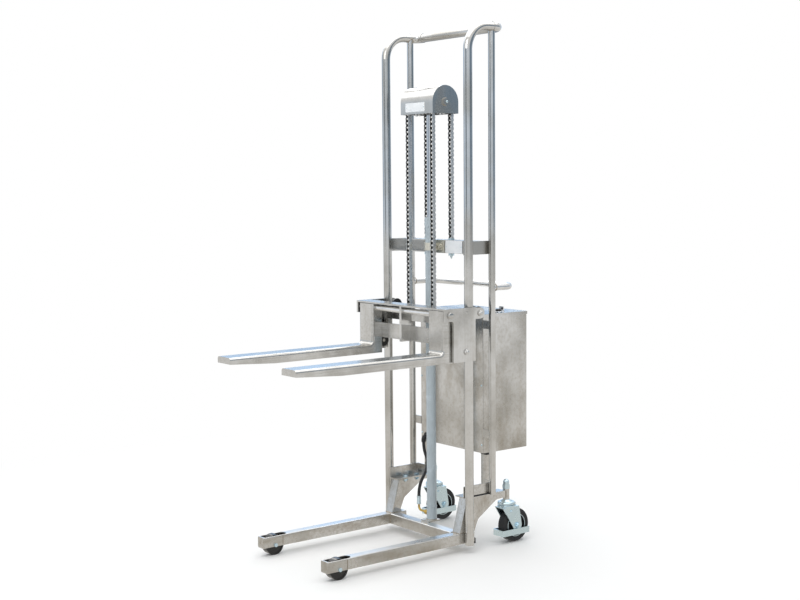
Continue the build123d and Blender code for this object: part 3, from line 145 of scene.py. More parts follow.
class StackerFinishes(bpy.types.PropertyGroup):
    """Colours of the finishes."""

    # Also the lightest colour of the painted highlight on faces that look up, and partly painted
    # light on the polished rods.
    steel_polished_lit: colour_setting(
        "Stainless, polished", "Rods polished by hand and tops wiped clean", "#ecedee")
    steel_light: colour_setting("Stainless, light", "Cleaner areas of the stainless steel", "#d0d0cf")
    steel_dark: colour_setting("Stainless, dull", "Duller areas of the stainless steel", "#b6b4af")
    steel_stain: colour_setting(
        "Stainless, stained", "Handling marks and tide lines on the steel", "#8f8470")
    steel_blasted: colour_setting("Stainless, blasted", "Sheet of the cylinder's clamp", "#dedbd0")
    weld: colour_setting("Weld", "Weld beads, straw coloured from the heat", "#aca395")
    zinc: colour_setting("Zinc", "Bright zinc plate of casters and bolts", "#cfe1e8")
    nut: colour_setting("Nuts", "Bluer zinc plate of polished nuts", "#c9dfec")
    chain: colour_setting("Chain steel", "Oiled steel of the chain", "#d9dbdc")
    # Partly a painted highlight on the rollers, which also run bright.
    chain_roller_worn_and_lit: colour_setting("Chain rollers", "Rollers of the chain, run bright", "#f4f4f2")
    # Painted shade on the inner faces of the link plates.
    chain_inner_shade: colour_setting("Chain oil", "Black oil inside the link plates", "#3b3a37")
    chrome: colour_setting("Chrome", "Piston rod and rings round the controls", "#dfe1e4")
    brass: colour_setting("Brass", "Pipe and nut at the hose's end", "#cdac5e")
    paint: colour_setting("Cylinder paint", "Blue-grey enamel of the lift cylinder", "#a6b0b5")
    grey: colour_setting("Pump paint", "Grey enamel of the pump unit", "#8d9194")
    plate: colour_setting("Bare plates", "Enamelled plates with nothing on them", "#dfe3e6")
    nylon: colour_setting("Nylon", "Load rollers and guide rollers", "#0f1011")
    plastic: colour_setting("Plastic", "Plugs, buttons and battery case", "#242425")
    black: colour_setting("Rubber", "Rubber of hose, elbow and pads", "#131416")
    tyre: colour_setting("Tyres", "Rubber of the caster wheels' tyres", "#121316")
    wheel: colour_setting("Wheels", "Plastic of the caster wheels", "#1e1f21")


class StackerStage(bpy.types.PropertyGroup):
    """Camera, floor and light."""

    camera_place: bpy.props.FloatVectorProperty(
        name="Camera", description="Place of the camera", default=(3.8226, -2.87345, 1.32276),
        subtype="TRANSLATION", size=3)
    azimuth: angle_setting("Azimuth", "Camera turn about Z from straight ahead of the forks", 52.32)
    elevation: angle_setting("Elevation", "Camera tilt", 4.92)
    roll: angle_setting("Roll", "Camera roll", -0.47)
    lens: bpy.props.FloatProperty(
        name="Lens", description="Focal length on a 36 mm sensor", default=60.08, unit="CAMERA")
    floor: colour_setting("Floor", "Pale studio floor", "#f5f3f0")
    floor_near: colour_setting("Floor, near", "What metal mirrors of the floor close by", "#e5e1da")
    floor_far: colour_setting("Floor, far", "What metal mirrors of the floor far off", "#faf9f7")
    room: colour_setting("Room", "Even light of the studio's walls", "#cbcfd3")
    horizon: colour_setting("Horizon", "What upright metal mirrors", "#dde8f4")
    blue_wall: colour_setting(
        "Blue wall", "Pale blue wall behind the object, which level metal mirrors", "#b4d2f3")
    right_flag: colour_setting("Right flag", "Dark cloth beside the object", "#8496a7")
    far_flag: colour_setting("Far flag", "Low dark cloth behind the object", "#6e7f92")
    front_flag: colour_setting("Front flag", "Narrow dark cloth ahead of the forks", "#828e99")
    low_panel: colour_setting("Low panel", "Bluish light of the lowest panel", "#d3e6fb")


# Surfaces

def ring_faces(rows, columns):
    """Quads of a grid whose columns close on themselves.

    Vertex i * columns + j joins its next row and column."""
    i, j = np.meshgrid(np.arange(rows - 1), np.arange(columns), indexing="ij")
    near = i * columns + j
    beside = i * columns + (j + 1) % columns
    return np.stack([near, beside, beside + columns, near + columns], axis=-1).reshape(-1, 4)


def around(axis, angle):
    """Unit vectors square to an axis at angles about it: cos a * side + sin a * up."""
    axis = np.asarray(axis, float)
    side = np.cross(axis, UP if abs(axis[2]) < 0.9 else ALONG)
    side = side / np.linalg.norm(side)
    return np.cos(angle)[:, None] * side + np.sin(angle)[:, None] * np.cross(axis, side)


def turned(profile, centre, axis, steps=40):
    """Surface of revolution: a profile of (radius, distance along the axis) turned about an axis.

    Point (i, j) is centre + along_i * axis + radius_i * the unit vector at angle a_j."""
    profile = np.asarray(profile, float)
    angle = np.linspace(0, 2 * np.pi, steps, endpoint=False)
    along = profile[:, None, 1:] * np.asarray(axis, float)
    points = np.asarray(centre, float) + along + profile[:, None, :1] * around(axis, angle)
    return points.reshape(-1, 3), ring_faces(len(profile), steps)


def prism(outline, low, high):
    """Flat outline in (y, z) carried straight along X, as points, side quads and end faces."""
    count = len(outline)
    flat = np.asarray(outline, float)
    ends = [np.column_stack([np.full(count, x), flat]) for x in (low, high)]
    corner = np.arange(count)
    after = (corner + 1) % count
    sides = np.stack([corner, after, after + count, corner + count], axis=-1)
    return np.concatenate(ends), sides, np.stack([corner[::-1], corner + count])


def slab(outline, low, high, axis):
    """Flat outline carried straight along an axis.

    The outline's two numbers are places along the other two axes in order."""
    points, sides, ends = prism(outline, low, high)
    order = {"x": [0, 1, 2], "y": [1, 0, 2], "z": [1, 2, 0]}[axis]
    return points[:, order], sides.tolist() + ends.tolist()


def rounded(low, high, radius, steps=6):
    """Rectangle between two corners, each of its quarters a centre plus radius * (cos, sin)."""
    turn = np.linspace(0, np.pi / 2, steps)[None, :] + np.pi / 2 * np.arange(4)[:, None]
    left, under = np.add(low, radius)
    right, over = np.subtract(high, radius)
    centres = np.array([(right, over), (left, over), (left, under), (right, under)])
    quarters = radius * np.stack([np.cos(turn), np.sin(turn)], axis=-1)
    return (centres[:, None, :] + quarters).reshape(-1, 2)


def swept(path, radius, lean, steps=8):
    """Round section carried along a path.

    Point (i, j) is path_i + radius_i * (cos a_j * side_i + sin a_j * up_i), with side square to
    path and lean."""
    ahead = np.gradient(path, axis=0)
    ahead = ahead / np.linalg.norm(ahead, axis=1, keepdims=True)
    side = np.cross(ahead, np.asarray(lean, float))
    side = side / np.linalg.norm(side, axis=1, keepdims=True)
    up = np.cross(side, ahead)
    angle = np.linspace(0, 2 * np.pi, steps, endpoint=False)[None, :, None]
    section = np.cos(angle) * side[:, None] + np.sin(angle) * up[:, None]
    points = path[:, None] + np.asarray(radius, float)[:, None, None] * section
    return points.reshape(-1, 3), ring_faces(len(path), steps)


def straight(start, end, step=0.0008):
    """Even points from start to end."""
    start, end = np.asarray(start, float), np.asarray(end, float)
    share = np.linspace(0, 1, max(8, int(np.linalg.norm(end - start) / step)))
    return start + share[:, None] * (end - start)


def hoop(centre, axis, radius, step=0.0008):
    """Circle about an axis that laps over its start: centre + radius * the unit vector at a_j."""
    angle = np.linspace(0, LAP, int(LAP * radius / step))
    return np.asarray(centre, float) + radius * around(axis, angle)


def bead(path, width, lean, ripple=0.003, depth=0.14):
    """Weld bead: a swept round section with a ripple, closed at its ends.

    Its radius is width / 2 * (1 + depth * cos(2 pi run / ripple)), with run the way along it."""
    run = np.concatenate([[0.0], np.cumsum(np.linalg.norm(np.diff(path, axis=0), axis=1))])
    ends = np.sqrt(np.clip(np.minimum(run, run[-1] - run) / width, 0.0, 1.0))
    radius = width / 2 * (1 + depth * np.cos(2 * np.pi * run / ripple))
    return swept(path, radius * ends, lean)


def joined(parts):
    """Several (points, faces) shapes as one, each face's numbers moved past the points before it."""
    starts = np.cumsum([0] + [len(points) for points, _ in parts[:-1]]).tolist()
    faces = [[int(corner) + start for corner in face]
             for start, (_, shape) in zip(starts, parts) for face in shape]
    return np.concatenate([points for points, _ in parts]), faces


def both_sides(*parts):
    """Shapes and their mirror images in the middle plane, with the mirrored faces turned round."""
    points, faces = joined(parts)
    turned_round = [face[::-1] for face in faces]
    return joined([(points, faces), (points * (-1.0, 1.0, 1.0), turned_round)])


def domed(centre, axis, radius, height):
    """Domed screw or rivet head: a turned quarter ellipse on a short straight rim."""
    rim = 0.3
    angle = np.linspace(0, np.pi / 2, 6)
    over = height * (rim + (1 - rim) * np.sin(angle))
    dome = np.column_stack([radius * np.cos(angle), over])
    return turned(np.concatenate([[[0.0, 0.0], [radius, 0.0]], dome]), centre, axis, 20)


def six_sided(centre, axis, across, height):
    """Hexagon head: a profile turned in six steps, with its top edge broken."""
    corner = across / math.sqrt(3)
    edge = [(corner, 0.0), (corner, 0.8 * height), (0.9 * corner, height)]
    return turned([(0.0, 0.0), *edge, (0.0, height)], centre, axis, 6)


def cap_nut(foot, axis, across, height):
    """Washer, hexagon nut and the bolt's rounded end, one above the other along an axis."""
    wide, thick = 0.64 * across, 0.0012
    washer = turned([(0.0, 0.0), (wide, 0.0), (wide, thick), (0.0, thick)], foot, axis, 32)
    tip = np.add(foot, np.multiply(0.95 * height, axis))
    return [washer, six_sided(foot, axis, across, height), domed(tip, axis, across / 3, 0.004)]


def shell(name, shape, finish):
    """Object at the origin from points and faces, with doubles merged and normals outward."""
    points, faces = shape
    mesh = bpy.data.meshes.new(name)
    mesh.from_pydata(points.tolist(), [], [list(face) for face in faces])
    work = bmesh.new()
    work.from_mesh(mesh)
    bmesh.ops.remove_doubles(work, verts=work.verts, dist=1e-6)
    bmesh.ops.recalc_face_normals(work, faces=work.faces)
    work.to_mesh(mesh)
    work.free()
    mesh.materials.append(finish)
    made = bpy.data.objects.new(name, mesh)
    bpy.context.scene.collection.objects.link(made)
    return made


def piece(name, shape, finish, body, sharp=PLAIN_EDGE):
    """Piece with its finish and body, smooth but for edges sharper than an angle in degrees."""
    made = shell(name, shape, FINISHES[finish])
    made.data.shade_smooth()
    made.data.set_sharp_from_angle(angle=math.radians(sharp))
    if body:
        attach(made, body)
    return made


# Finishes

def add(tree, kind, inputs=None, **settings):
    """One node with its settings.

    An input is a value, an output, or a node, which gives the first output that it has in use."""
    node = tree.nodes.new("ShaderNode" + kind)
    for key, value in settings.items():
        setattr(node, key, value)
    for key, value in (inputs or {}).items():
        if isinstance(value, bpy.types.Node):
            value = next(socket for socket in value.outputs if socket.enabled)
        if isinstance(value, bpy.types.NodeSocket):
            tree.links.new(value, node.inputs[key])
        else:
            node.inputs[key].default_value = value
    return node


def blank(name):
    """New material with an empty node tree."""
    made = bpy.data.materials.new(name)
    made.use_nodes = True
    made.node_tree.nodes.clear()
    return made, made.node_tree


def opaque(colour):
    """Colour with full alpha. A node is left as it is."""
    return colour if isinstance(colour, bpy.types.Node) else (*colour, 1.0)


def layered(tree, shown, layers):
    """Colour with others over it: each layer is the share of it that shows, and its colour."""
    for share, over in layers:
        shown = add(tree, "Mix", {"Factor": share, MIX_A: opaque(shown), MIX_B: opaque(over)},
                    data_type="RGBA")
    return shown


def noise(tree, place, scale, detail, roughness=0.5):
    """Cloudy pattern from 0 to 1, with scale spots to one unit of its place."""
    return add(tree, "TexNoise", {
        "Vector": place, "Scale": scale, "Detail": detail, "Roughness": roughness})


def ramp(tree, value, start, full, low=0.0, high=1.0, kind="LINEAR"):
    """Value that goes from low to high while another goes from start to full."""
    return add(tree, "MapRange", {
        "Value": value, "From Min": start, "From Max": full, "To Min": low, "To Max": high},
        interpolation_type=kind)


def maths(tree, operation, *values):
    """Math node on one or two values."""
    return add(tree, "Math", dict(enumerate(values)), operation=operation)


def stainless(name, grain, rough, wave, stain=0.0, turn=0.0, streaks=0.3,
              drip=(60.0, 60.0, 260.0), speckle=0.1, polished=False, top_highlight=0.0):
    """Stainless steel with lines of polish, cloudy dull patches, stains, specks and a faint wave.

    grain is the lines' size in mm along X, Y and Z, turned about Z by turn degrees, rough the
    roughness from clean to dull, wave the sheet's unevenness in mm, drip the size of smeared marks
    in mm, and stain, streaks and speckle how far marks, lines and specks take over. The last two
    settings make polished steel lighter all over, partly as painted light, and paint a highlight
    in the lightest colour on faces that look up. Real polish lines are near 0.1 mm wide, so they
    are drawn as wide as they need to show."""
    colours = bpy.context.scene.stacker_finishes
    # Polished steel is drawn in lighter colours: a polished finish, drawn lighter as painted light.
    light = colours.steel_polished_lit if polished else colours.steel_light
    dark = colours.steel_light if polished else colours.steel_dark
    made, tree = blank(name)
    spot = add(tree, "TexCoord")
    place = spot.outputs["Object"]
    turned_place = add(tree, "Mapping", {
        "Vector": place, "Rotation": (0.0, 0.0, math.radians(turn))})
    lines = add(tree, "Mapping", {"Vector": turned_place, "Scale": [MM / size for size in grain]})
    polish = noise(tree, lines, 1.0, detail=2.0)
    streak = ramp(tree, polish, 0.42, 0.72, high=streaks)
    # Dull clouds about 160 mm apart.
    cloud = noise(tree, place, MM / 160, detail=3.0)
    dull = ramp(tree, cloud, 0.38, 0.64)
    # Faces that look up lose their marks and specks and take the lightest colour: a painted highlight
    # on tops.
    up = add(tree, "SeparateXYZ", {0: spot.outputs["Normal"]}).outputs["Z"]
    marks_off_lit_tops = ramp(tree, up, 0.5, 0.95, low=1.0, high=0.15)
    level = ramp(tree, up, 0.5, 0.95, high=top_highlight)
    # Wiping and drips leave long marks that lean a little.
    smear_place = add(tree, "Mapping", {
        "Vector": place, "Rotation": (0.25, 0.2, 0.0), "Scale": [MM / size for size in drip]})
    smear = noise(tree, smear_place, 1.0, detail=4.0, roughness=0.55)
    marked = ramp(tree, smear, 0.50, 0.74, high=stain)
    marks = maths(tree, "MULTIPLY", marked, marks_off_lit_tops)
    # Dust and water specks about 13 mm apart.
    specks = noise(tree, place, MM / 13, detail=5.0, roughness=0.7)
    specked = ramp(tree, specks, 0.45, 0.68, high=speckle)
    dirt = maths(tree, "MULTIPLY", specked, marks_off_lit_tops)
    shown = layered(tree, light, (
        (dull, dark),
        (marks, colours.steel_stain),
        (streak, dark),
        (dirt, colours.steel_stain),
        # Painted highlight on faces that look up.
        (level, colours.steel_polished_lit),
    ))
    spread = maths(tree, "MULTIPLY", dull, smear)
    roughness = ramp(tree, spread, 0.0, 0.6, *rough)
    # Sheet waves about 130 mm long under the lines of polish.
    swell = noise(tree, place, MM / 130, detail=1.0)
    fine = add(tree, "Bump", {"Height": polish, "Strength": 0.10, "Distance": 0.1 / MM})
    uneven = add(tree, "Bump", {
        "Height": swell, "Strength": 1.0, "Distance": wave / MM, "Normal": fine})
    steel = add(tree, "BsdfPrincipled", {
        "Base Color": shown, "Metallic": 1.0, "Roughness": roughness, "Normal": uneven})
    add(tree, "OutputMaterial", {"Surface": steel})
    return made


def plated(name, colour, rough, spot, dim):
    """Plain or plated metal: even colour with faint spots of a duller film.

    rough is the roughness from clean to filmed; spots are spot mm across and dim times as bright."""
    made, tree = blank(name)
    place = add(tree, "TexCoord").outputs["Object"]
    film = noise(tree, place, MM / spot, detail=5.0, roughness=0.6)
    filmed = [dim * channel for channel in colour]
    mixed = layered(tree, colour, [(film, filmed)])
    roughness = ramp(tree, film, 0.3, 0.7, *rough)
    bump = add(tree, "Bump", {"Height": film, "Strength": 0.2, "Distance": 0.1 / MM})
    metal = add(tree, "BsdfPrincipled", {
        "Base Color": mixed, "Metallic": 1.0, "Roughness": roughness, "Normal": bump})
    add(tree, "OutputMaterial", {"Surface": metal})
    return made


def chain_steel(name, rough, spot):
    """Roller chain: rollers worn bright with a painted highlight, plates with painted shade on their
    inner faces, and a film in spot mm spots.

    A roller's faces are near the chain's middle plane. With d the distance outward past that
    plane, a plate's face looks inward where the outward part of its normal times d is negative."""
    colours = bpy.context.scene.stacker_finishes
    sizes = bpy.context.scene.stacker_sizes
    reach = sizes.roller_half + 0.05 / MM
    made, tree = blank(name)
    here = add(tree, "TexCoord")
    across = add(tree, "SeparateXYZ", {0: here.outputs["Object"]}).outputs["X"]
    facing = add(tree, "SeparateXYZ", {0: here.outputs["Normal"]}).outputs["X"]
    out = maths(tree, "ABSOLUTE", across)
    past = maths(tree, "SUBTRACT", out, sizes.chain_x)
    off = maths(tree, "ABSOLUTE", past)
    roller = maths(tree, "LESS_THAN", off, reach)
    side = maths(tree, "SIGN", across)
    outward = maths(tree, "MULTIPLY", facing, side)
    turned_away = maths(tree, "MULTIPLY", outward, past)
    inside = maths(tree, "LESS_THAN", turned_away, -reach / 2)
    # Painted shade on the plates' inner faces, then the rollers' painted highlight over their worn
    # bright steel.
    shown = layered(tree, colours.chain, (
        (inside, colours.chain_inner_shade),
        (roller, colours.chain_roller_worn_and_lit),
    ))
    film = noise(tree, here.outputs["Object"], MM / spot, detail=5.0, roughness=0.6)
    filmed = ramp(tree, film, 0.0, 1.0, low=1.0, high=0.8)
    colour = add(tree, "VectorMath", {0: shown, "Scale": filmed}, operation="SCALE")
    roughness = ramp(tree, film, 0.3, 0.7, *rough)
    metal = add(tree, "BsdfPrincipled", {
        "Base Color": colour, "Metallic": 1.0, "Roughness": roughness})
    add(tree, "OutputMaterial", {"Surface": metal})
    return made


def moulded(name, colour, rough, grit, relief):
    """Paint, rubber or plastic: cloudy colour and a skin of grit mm texture, relief mm deep."""
    made, tree = blank(name)
    place = add(tree, "TexCoord").outputs["Object"]
    skin = noise(tree, place, MM / grit, detail=3.0)
    # Paler clouds about 40 mm apart.
    cloud = noise(tree, place, MM / 40, detail=4.0)
    paler = [min(1.0, 1.35 * channel + 0.004) for channel in colour]
    mixed = layered(tree, colour, [(cloud, paler)])
    roughness = ramp(tree, cloud, 0.3, 0.7, *rough)
    bump = add(tree, "Bump", {"Height": skin, "Strength": 0.6, "Distance": relief / MM})
    body = add(tree, "BsdfPrincipled", {
        "Base Color": mixed, "Roughness": roughness, "IOR": 1.5, "Normal": bump})
    add(tree, "OutputMaterial", {"Surface": body})
    return made


class STACKER_OT_finishes(bpy.types.Operator):
    """Make the finishes and put them on the frame's nodes."""

    bl_idname = "stacker.finishes"
    bl_label = "Finishes"

    def execute(self, context):
        self.steels()
        self.metals(context.scene.stacker_finishes)
        self.coats(context.scene.stacker_finishes)
        by_node = {
            "tube": ("mast_tube_left", "mast_tube_right", "rear_tubes"),
            "handle": ("top_handle",),
            "rod": ("push_handle", "fork_rod"),
            "cross": ("mast_crossbar", "carriage_top", "carriage_lower_bar", "chain_bar",
                      "box_straps", "head_block", "box_lid"),
            "clamp": ("cylinder_clamp",),
            "bar": ("fork_left", "fork_right"),
            "satin": ("leg_left", "leg_right", "mast_bases"),
            "beam": ("base_crossbeam",),
            "plate": ("carriage_plate_left", "carriage_plate_right", "head_cowl", "head_axle"),
            "sheet": ("box_shell", "box_posts", "gusset_left", "gusset_right"),
            "zinc": ("chain_anchors", "caster_yoke_left", "caster_yoke_right",
                     "caster_guard_left", "caster_guard_right", "caster_stems"),
            "nut": ("roller_axles", "base_bolts"),
            "chain": ("front_chains", "rear_chains", "chain_wraps"),
            "sprocket": ("chain_sprockets",),
            "chrome": ("piston_rod", "key_switch"),
            "brass": ("hose_fitting",),
            "paint": ("cylinder_tube", "cylinder_gland"),
            "grey": ("pump_unit",),
            "nylon": ("load_roller_left", "load_roller_right", "upper_guide_rollers",
                      "lower_guide_rollers"),
            "plastic": ("leg_plugs", "lift_button", "lower_button", "battery"),
            "rubber": ("hydraulic_hose", "hose_elbow"),
            "tyre": ("caster_tyre_left", "caster_tyre_right"),
            "wheel": ("caster_wheel_left", "caster_wheel_right"),
        }
        left = set(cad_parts) - {node for nodes in by_node.values() for node in nodes}
        if left:
            raise RuntimeError(f"no finish for {sorted(left)}")
        for finish, nodes in by_node.items():
            for node in nodes:
                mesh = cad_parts[node].data
                mesh.materials.clear()
                mesh.materials.append(FINISHES[finish])
        return {"FINISHED"}

    def steels(self):
        """Stainless steel as the tubes, bars and sheets were polished, brushed or rolled."""
        # Drawn tube, polished along its length: narrow highlights with long soft streaks.
        FINISHES["tube"] = stainless(
            "stainless_tube", grain=(5.0, 5.0, 400.0), rough=(0.10, 0.22), wave=0.12,
            stain=0.10, streaks=0.2)
        # Tube across the machine: a little duller.
        FINISHES["handle"] = stainless(
            "stainless_handle_tube", grain=(250.0, 3.0, 3.0), rough=(0.16, 0.28), wave=0.10)
        # The same, polished by hand, in lighter colours that are partly painted light.
        FINISHES["rod"] = stainless(
            "stainless_polished_and_lit_rod", grain=(250.0, 3.0, 3.0), rough=(0.16, 0.28), wave=0.10,
            polished=True)
        # Fork blade, brushed along its length: clear lines.
        FINISHES["bar"] = stainless(
            "stainless_brushed_bar", grain=(3.5, 160.0, 3.5), rough=(0.14, 0.30), wave=0.15,
            stain=0.15, streaks=0.8)
        # Square tube in a satin finish: wide highlights, browner from handling, and a painted
        # highlight on top.
        FINISHES["satin"] = stainless(
            "stainless_satin_tube", grain=(4.0, 160.0, 4.0), rough=(0.22, 0.38), wave=0.15,
            stain=0.60, drip=(40.0, 150.0, 40.0), speckle=0.30, top_highlight=0.3)
        # The same tube across the machine, with a stronger painted highlight on top.
        FINISHES["beam"] = stainless(
            "stainless_satin_beam", grain=(160.0, 4.0, 4.0), rough=(0.22, 0.38), wave=0.15,
            stain=0.60, drip=(150.0, 40.0, 40.0), speckle=0.30, top_highlight=0.9)
        # Side plates and cowl, brushed upright and over the top.
        FINISHES["plate"] = stainless(
            "stainless_brushed_plate", grain=(160.0, 3.5, 160.0), rough=(0.14, 0.30), wave=0.25,
            stain=0.2)
        # Cross pieces, brushed from side to side.
        FINISHES["cross"] = stainless(
            "stainless_brushed_cross", grain=(160.0, 160.0, 3.5), rough=(0.16, 0.34), wave=0.2,
            stain=0.15)
        # Rolled sheet in its mill finish: dull, cloudy, wiped and slightly wavy.
        FINISHES["sheet"] = stainless(
            "stainless_mill_sheet", grain=(5.0, 180.0, 180.0), rough=(0.14, 0.30), wave=0.4,
            stain=0.50, turn=45.0, streaks=0.10, drip=(70.0, 70.0, 170.0), speckle=0.30)

    def metals(self, colours):
        """Welded, plated, oiled and plain metal."""
        # Finish, name, colour, roughness, size of the film's spots in mm and how bright they are.
        rows = (
            # Clamp sheet, blasted: pale and even.
            ("clamp", "stainless_blasted_sheet", colours.steel_blasted, (0.38, 0.55), 18, 0.8),
            # Stainless weld: rippled bead, straw coloured from the heat.
            ("weld", "stainless_weld", colours.weld, (0.22, 0.45), 5, 0.8),
            # Bright zinc plate: pale, a little blue and slightly blotchy.
            ("zinc", "zinc_plate", colours.zinc, (0.22, 0.36), 22, 0.9),
            # Polished nuts under the same plate: brighter and bluer.
            ("nut", "blue_zinc_nut", colours.nut, (0.08, 0.18), 10, 0.9),
            # Oiled steel: a film dulls it in patches.
            ("sprocket", "oiled_sprocket_steel", colours.chain, (0.25, 0.5), 9, 0.8),
            # Hard chrome: a mirror with next to no texture.
            ("chrome", "hard_chrome", colours.chrome, (0.05, 0.12), 60, 0.8),
            # Plain brass: warm, with a dull film from handling.
            ("brass", "plain_brass", colours.brass, (0.22, 0.42), 12, 0.8),
        )
        for finish, *settings in rows:
            FINISHES[finish] = plated(*settings)
        # Oiled chain: the same film, with rollers that run bright under a painted highlight, and
        # painted shade on the plates' inner faces.
        FINISHES["chain"] = chain_steel("oiled_chain_steel", rough=(0.22, 0.42), spot=9)

    def coats(self, colours):
        """Enamel, nylon, plastic and rubber."""
        # Finish, name, colour, roughness, and the skin's texture and depth in mm.
        rows = (
            # Gloss enamel with the faint orange peel of a sprayed coat.
            ("paint", "blue_grey_enamel", colours.paint, (0.18, 0.30), 4.0, 0.03),
            ("grey", "grey_enamel", colours.grey, (0.35, 0.5), 4.0, 0.04),
            # Enamelled aluminium plate: smooth, pale and even.
            ("enamel", "pale_enamel_plate", colours.plate, (0.28, 0.38), 6.0, 0.01),
            # Turned nylon, worn smooth by the floor: deep black with a clear highlight.
            ("nylon", "black_nylon", colours.nylon, (0.10, 0.18), 2.5, 0.01),
            # Injection moulded plastic with a spark-eroded skin: an even, dull black.
            ("plastic", "black_plastic", colours.plastic, (0.42, 0.58), 1.6, 0.08),
            ("wheel", "black_wheel_plastic", colours.wheel, (0.38, 0.52), 2.0, 0.06),
            # Moulded rubber: black, with a wide soft highlight.
            ("rubber", "black_rubber", colours.black, (0.45, 0.62), 1.8, 0.08),
            ("tyre", "tyre_rubber", colours.tyre, (0.5, 0.7), 2.2, 0.1),
        )
        for finish, *settings in rows:
            FINISHES[finish] = moulded(*settings)


class STACKER_OT_hose(bpy.types.Operator):
    """Hydraulic hose from the elbow on the box to its ferrule."""

    bl_idname = "stacker.hose"
    bl_label = "Hydraulic hose"

    def execute(self, context):
        size = context.scene.stacker_sizes.hose
        points = np.array([
            (-0.146, 0.3009, 0.336), (-0.146, 0.3009, 0.327), (-0.1435, 0.3025, 0.3005),
            (-0.1285, 0.3055, 0.2685), (-0.111, 0.2865, 0.238), (-0.0865, 0.256, 0.225),
            (-0.078, 0.231, 0.201), (-0.077, 0.2214, 0.169), (-0.077, 0.2214, 0.150)])
        curve = bpy.data.curves.new("hydraulic_hose_run", "CURVE")
        curve.dimensions = "3D"
        spline = curve.splines.new("NURBS")
        spline.points.add(len(points) - 1)
        spline.points.foreach_set("co", np.column_stack([points, np.ones(len(points))]).ravel())
        spline.order_u = 3
        spline.use_endpoint_u = True
        spline.resolution_u = 12
        curve.bevel_depth = size / 2
        curve.bevel_resolution = 6
        curve.use_fill_caps = True
        curve.materials.append(FINISHES["rubber"])
        hose = bpy.data.objects.new("hydraulic_hose_run", curve)
        context.scene.collection.objects.link(hose)
        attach(hose, "chassis")
        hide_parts("hydraulic_hose")
        self.fitting(points[-1])
        return {"FINISHED"}

    def fitting(self, end):
        """Crimped ferrule, bent pipe and nut that take the hose to the foot of the cylinder."""
        # Length of the ferrule, where its crimp starts and ends, and the width of one ring of it.
        long, first, last, ring = 0.032, 0.006, 0.027, 0.007
        run = np.linspace(0.0, long, 49)
        wave = 0.5 - 0.5 * np.cos(2 * np.pi * (run - first) / ring)
        crimp = np.where((run > first) & (run < last), wave, 0.0)
        sleeve = np.column_stack([0.0079 - 0.0009 * crimp, run])
        closed = np.concatenate([[[0.0058, 0.0]], sleeve, [[0.0038, long]]])
        ferrule = piece("hose_ferrule", turned(closed, end, (0, 0, -1), steps=28), "zinc", "chassis",
                        ROUND_TRIM)
        bend, pipe_radius = 0.014, 0.004
        angle = np.linspace(0, np.pi / 2, 12)[:, None]
        arc = end + (bend, 0.0, -0.040) - bend * (np.cos(angle) * ACROSS + np.sin(angle) * UP)
        route = np.concatenate([[end + (0.0, 0.0, -0.031)], arc, [end + (0.042, 0.0, -0.054)]])
        tube = swept(route, np.full(len(route), pipe_radius), ALONG, steps=20)
        pipe = piece("hose_pipe", tube, "brass", "chassis")
        start = end + (0.041, 0.0, -0.054)
        collar = [(0.004, 0.0135), (0.0072, 0.0135), (0.0072, 0.0225), (0.006, 0.0225),
                  (0.006, 0.0270)]
        collar = turned(collar, start, ACROSS, steps=24)
        hexagon = six_sided(start, ACROSS, across=0.0168, height=0.014)
        nut = piece("hose_nut", joined([hexagon, collar]), "brass", "chassis")
        for made in (ferrule, pipe, nut):
            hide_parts("hose_fitting")
        return [ferrule, pipe, nut]


def link_plate(sizes, low, high):
    """Waisted link plate: two half circles about the pins, drawn in to a waist between them."""
    angle = np.linspace(0, np.pi, 6)
    half = sizes.plate_high / 2 * np.column_stack([np.cos(angle), np.sin(angle)])
    waist = np.array([[sizes.plate_waist / 2, sizes.pitch / 2]])
    outline = np.concatenate([-half, waist, half + (0.0, sizes.pitch), waist * (-1.0, 1.0)])
    return prism(outline, low, high)


def round_prism(radius, low, high, steps=8):
    """Short round bar along X about the origin of (y, z)."""
    angle = np.linspace(0, 2 * np.pi, steps, endpoint=False)
    return prism(radius * np.column_stack([np.cos(angle), np.sin(angle)]), low, high)


def placed(shape, origins, along):
    """A prism set at each origin, with its z axis along the unit vectors (y, z) given in along."""
    points, sides, ends = shape
    across = np.column_stack([along[:, 1], -along[:, 0]])
    flat = points[None, :, 1:2] * across[:, None, :] + points[None, :, 2:3] * along[:, None, :]
    x = np.broadcast_to(points[None, :, :1], (len(origins), len(points), 1))
    moved = np.concatenate([x, flat + origins[:, None, :]], axis=2).reshape(-1, 3)
    starts = np.arange(len(origins))[:, None, None] * len(points)
    walls = (sides[None] + starts).reshape(-1, 4).tolist()
    return moved, walls + (ends[None] + starts).reshape(-1, ends.shape[1]).tolist()


def chain(sizes, pins, first):
    """Roller chains on both sides along pins in (y, z).

    Inner and outer links take turns, and each pin has a roller and two heads."""
    step = np.diff(pins, axis=0)
    along = step / np.linalg.norm(step, axis=1, keepdims=True)
    starts = pins[:-1]
    inner = (np.arange(len(starts)) + first) % 2 == 0
    roller = round_prism(sizes.roller / 2, -sizes.roller_half, sizes.roller_half, steps=10)
    parts = [placed(roller, starts, along)]
    for side in SIDES:
        for rows, reach in ((inner, INNER_PLATE), (~inner, OUTER_PLATE)):
            plate = link_plate(sizes, *sorted(side * reach))
            parts.append(placed(plate, starts[rows], along[rows]))
        head = round_prism(PIN_RADIUS, *sorted(side * PIN_HEAD))
        parts.append(placed(head, starts, along))
    points, faces = joined(parts)
    return joined([(points + (side * sizes.chain_x, 0.0, 0.0), faces) for side in SIDES])


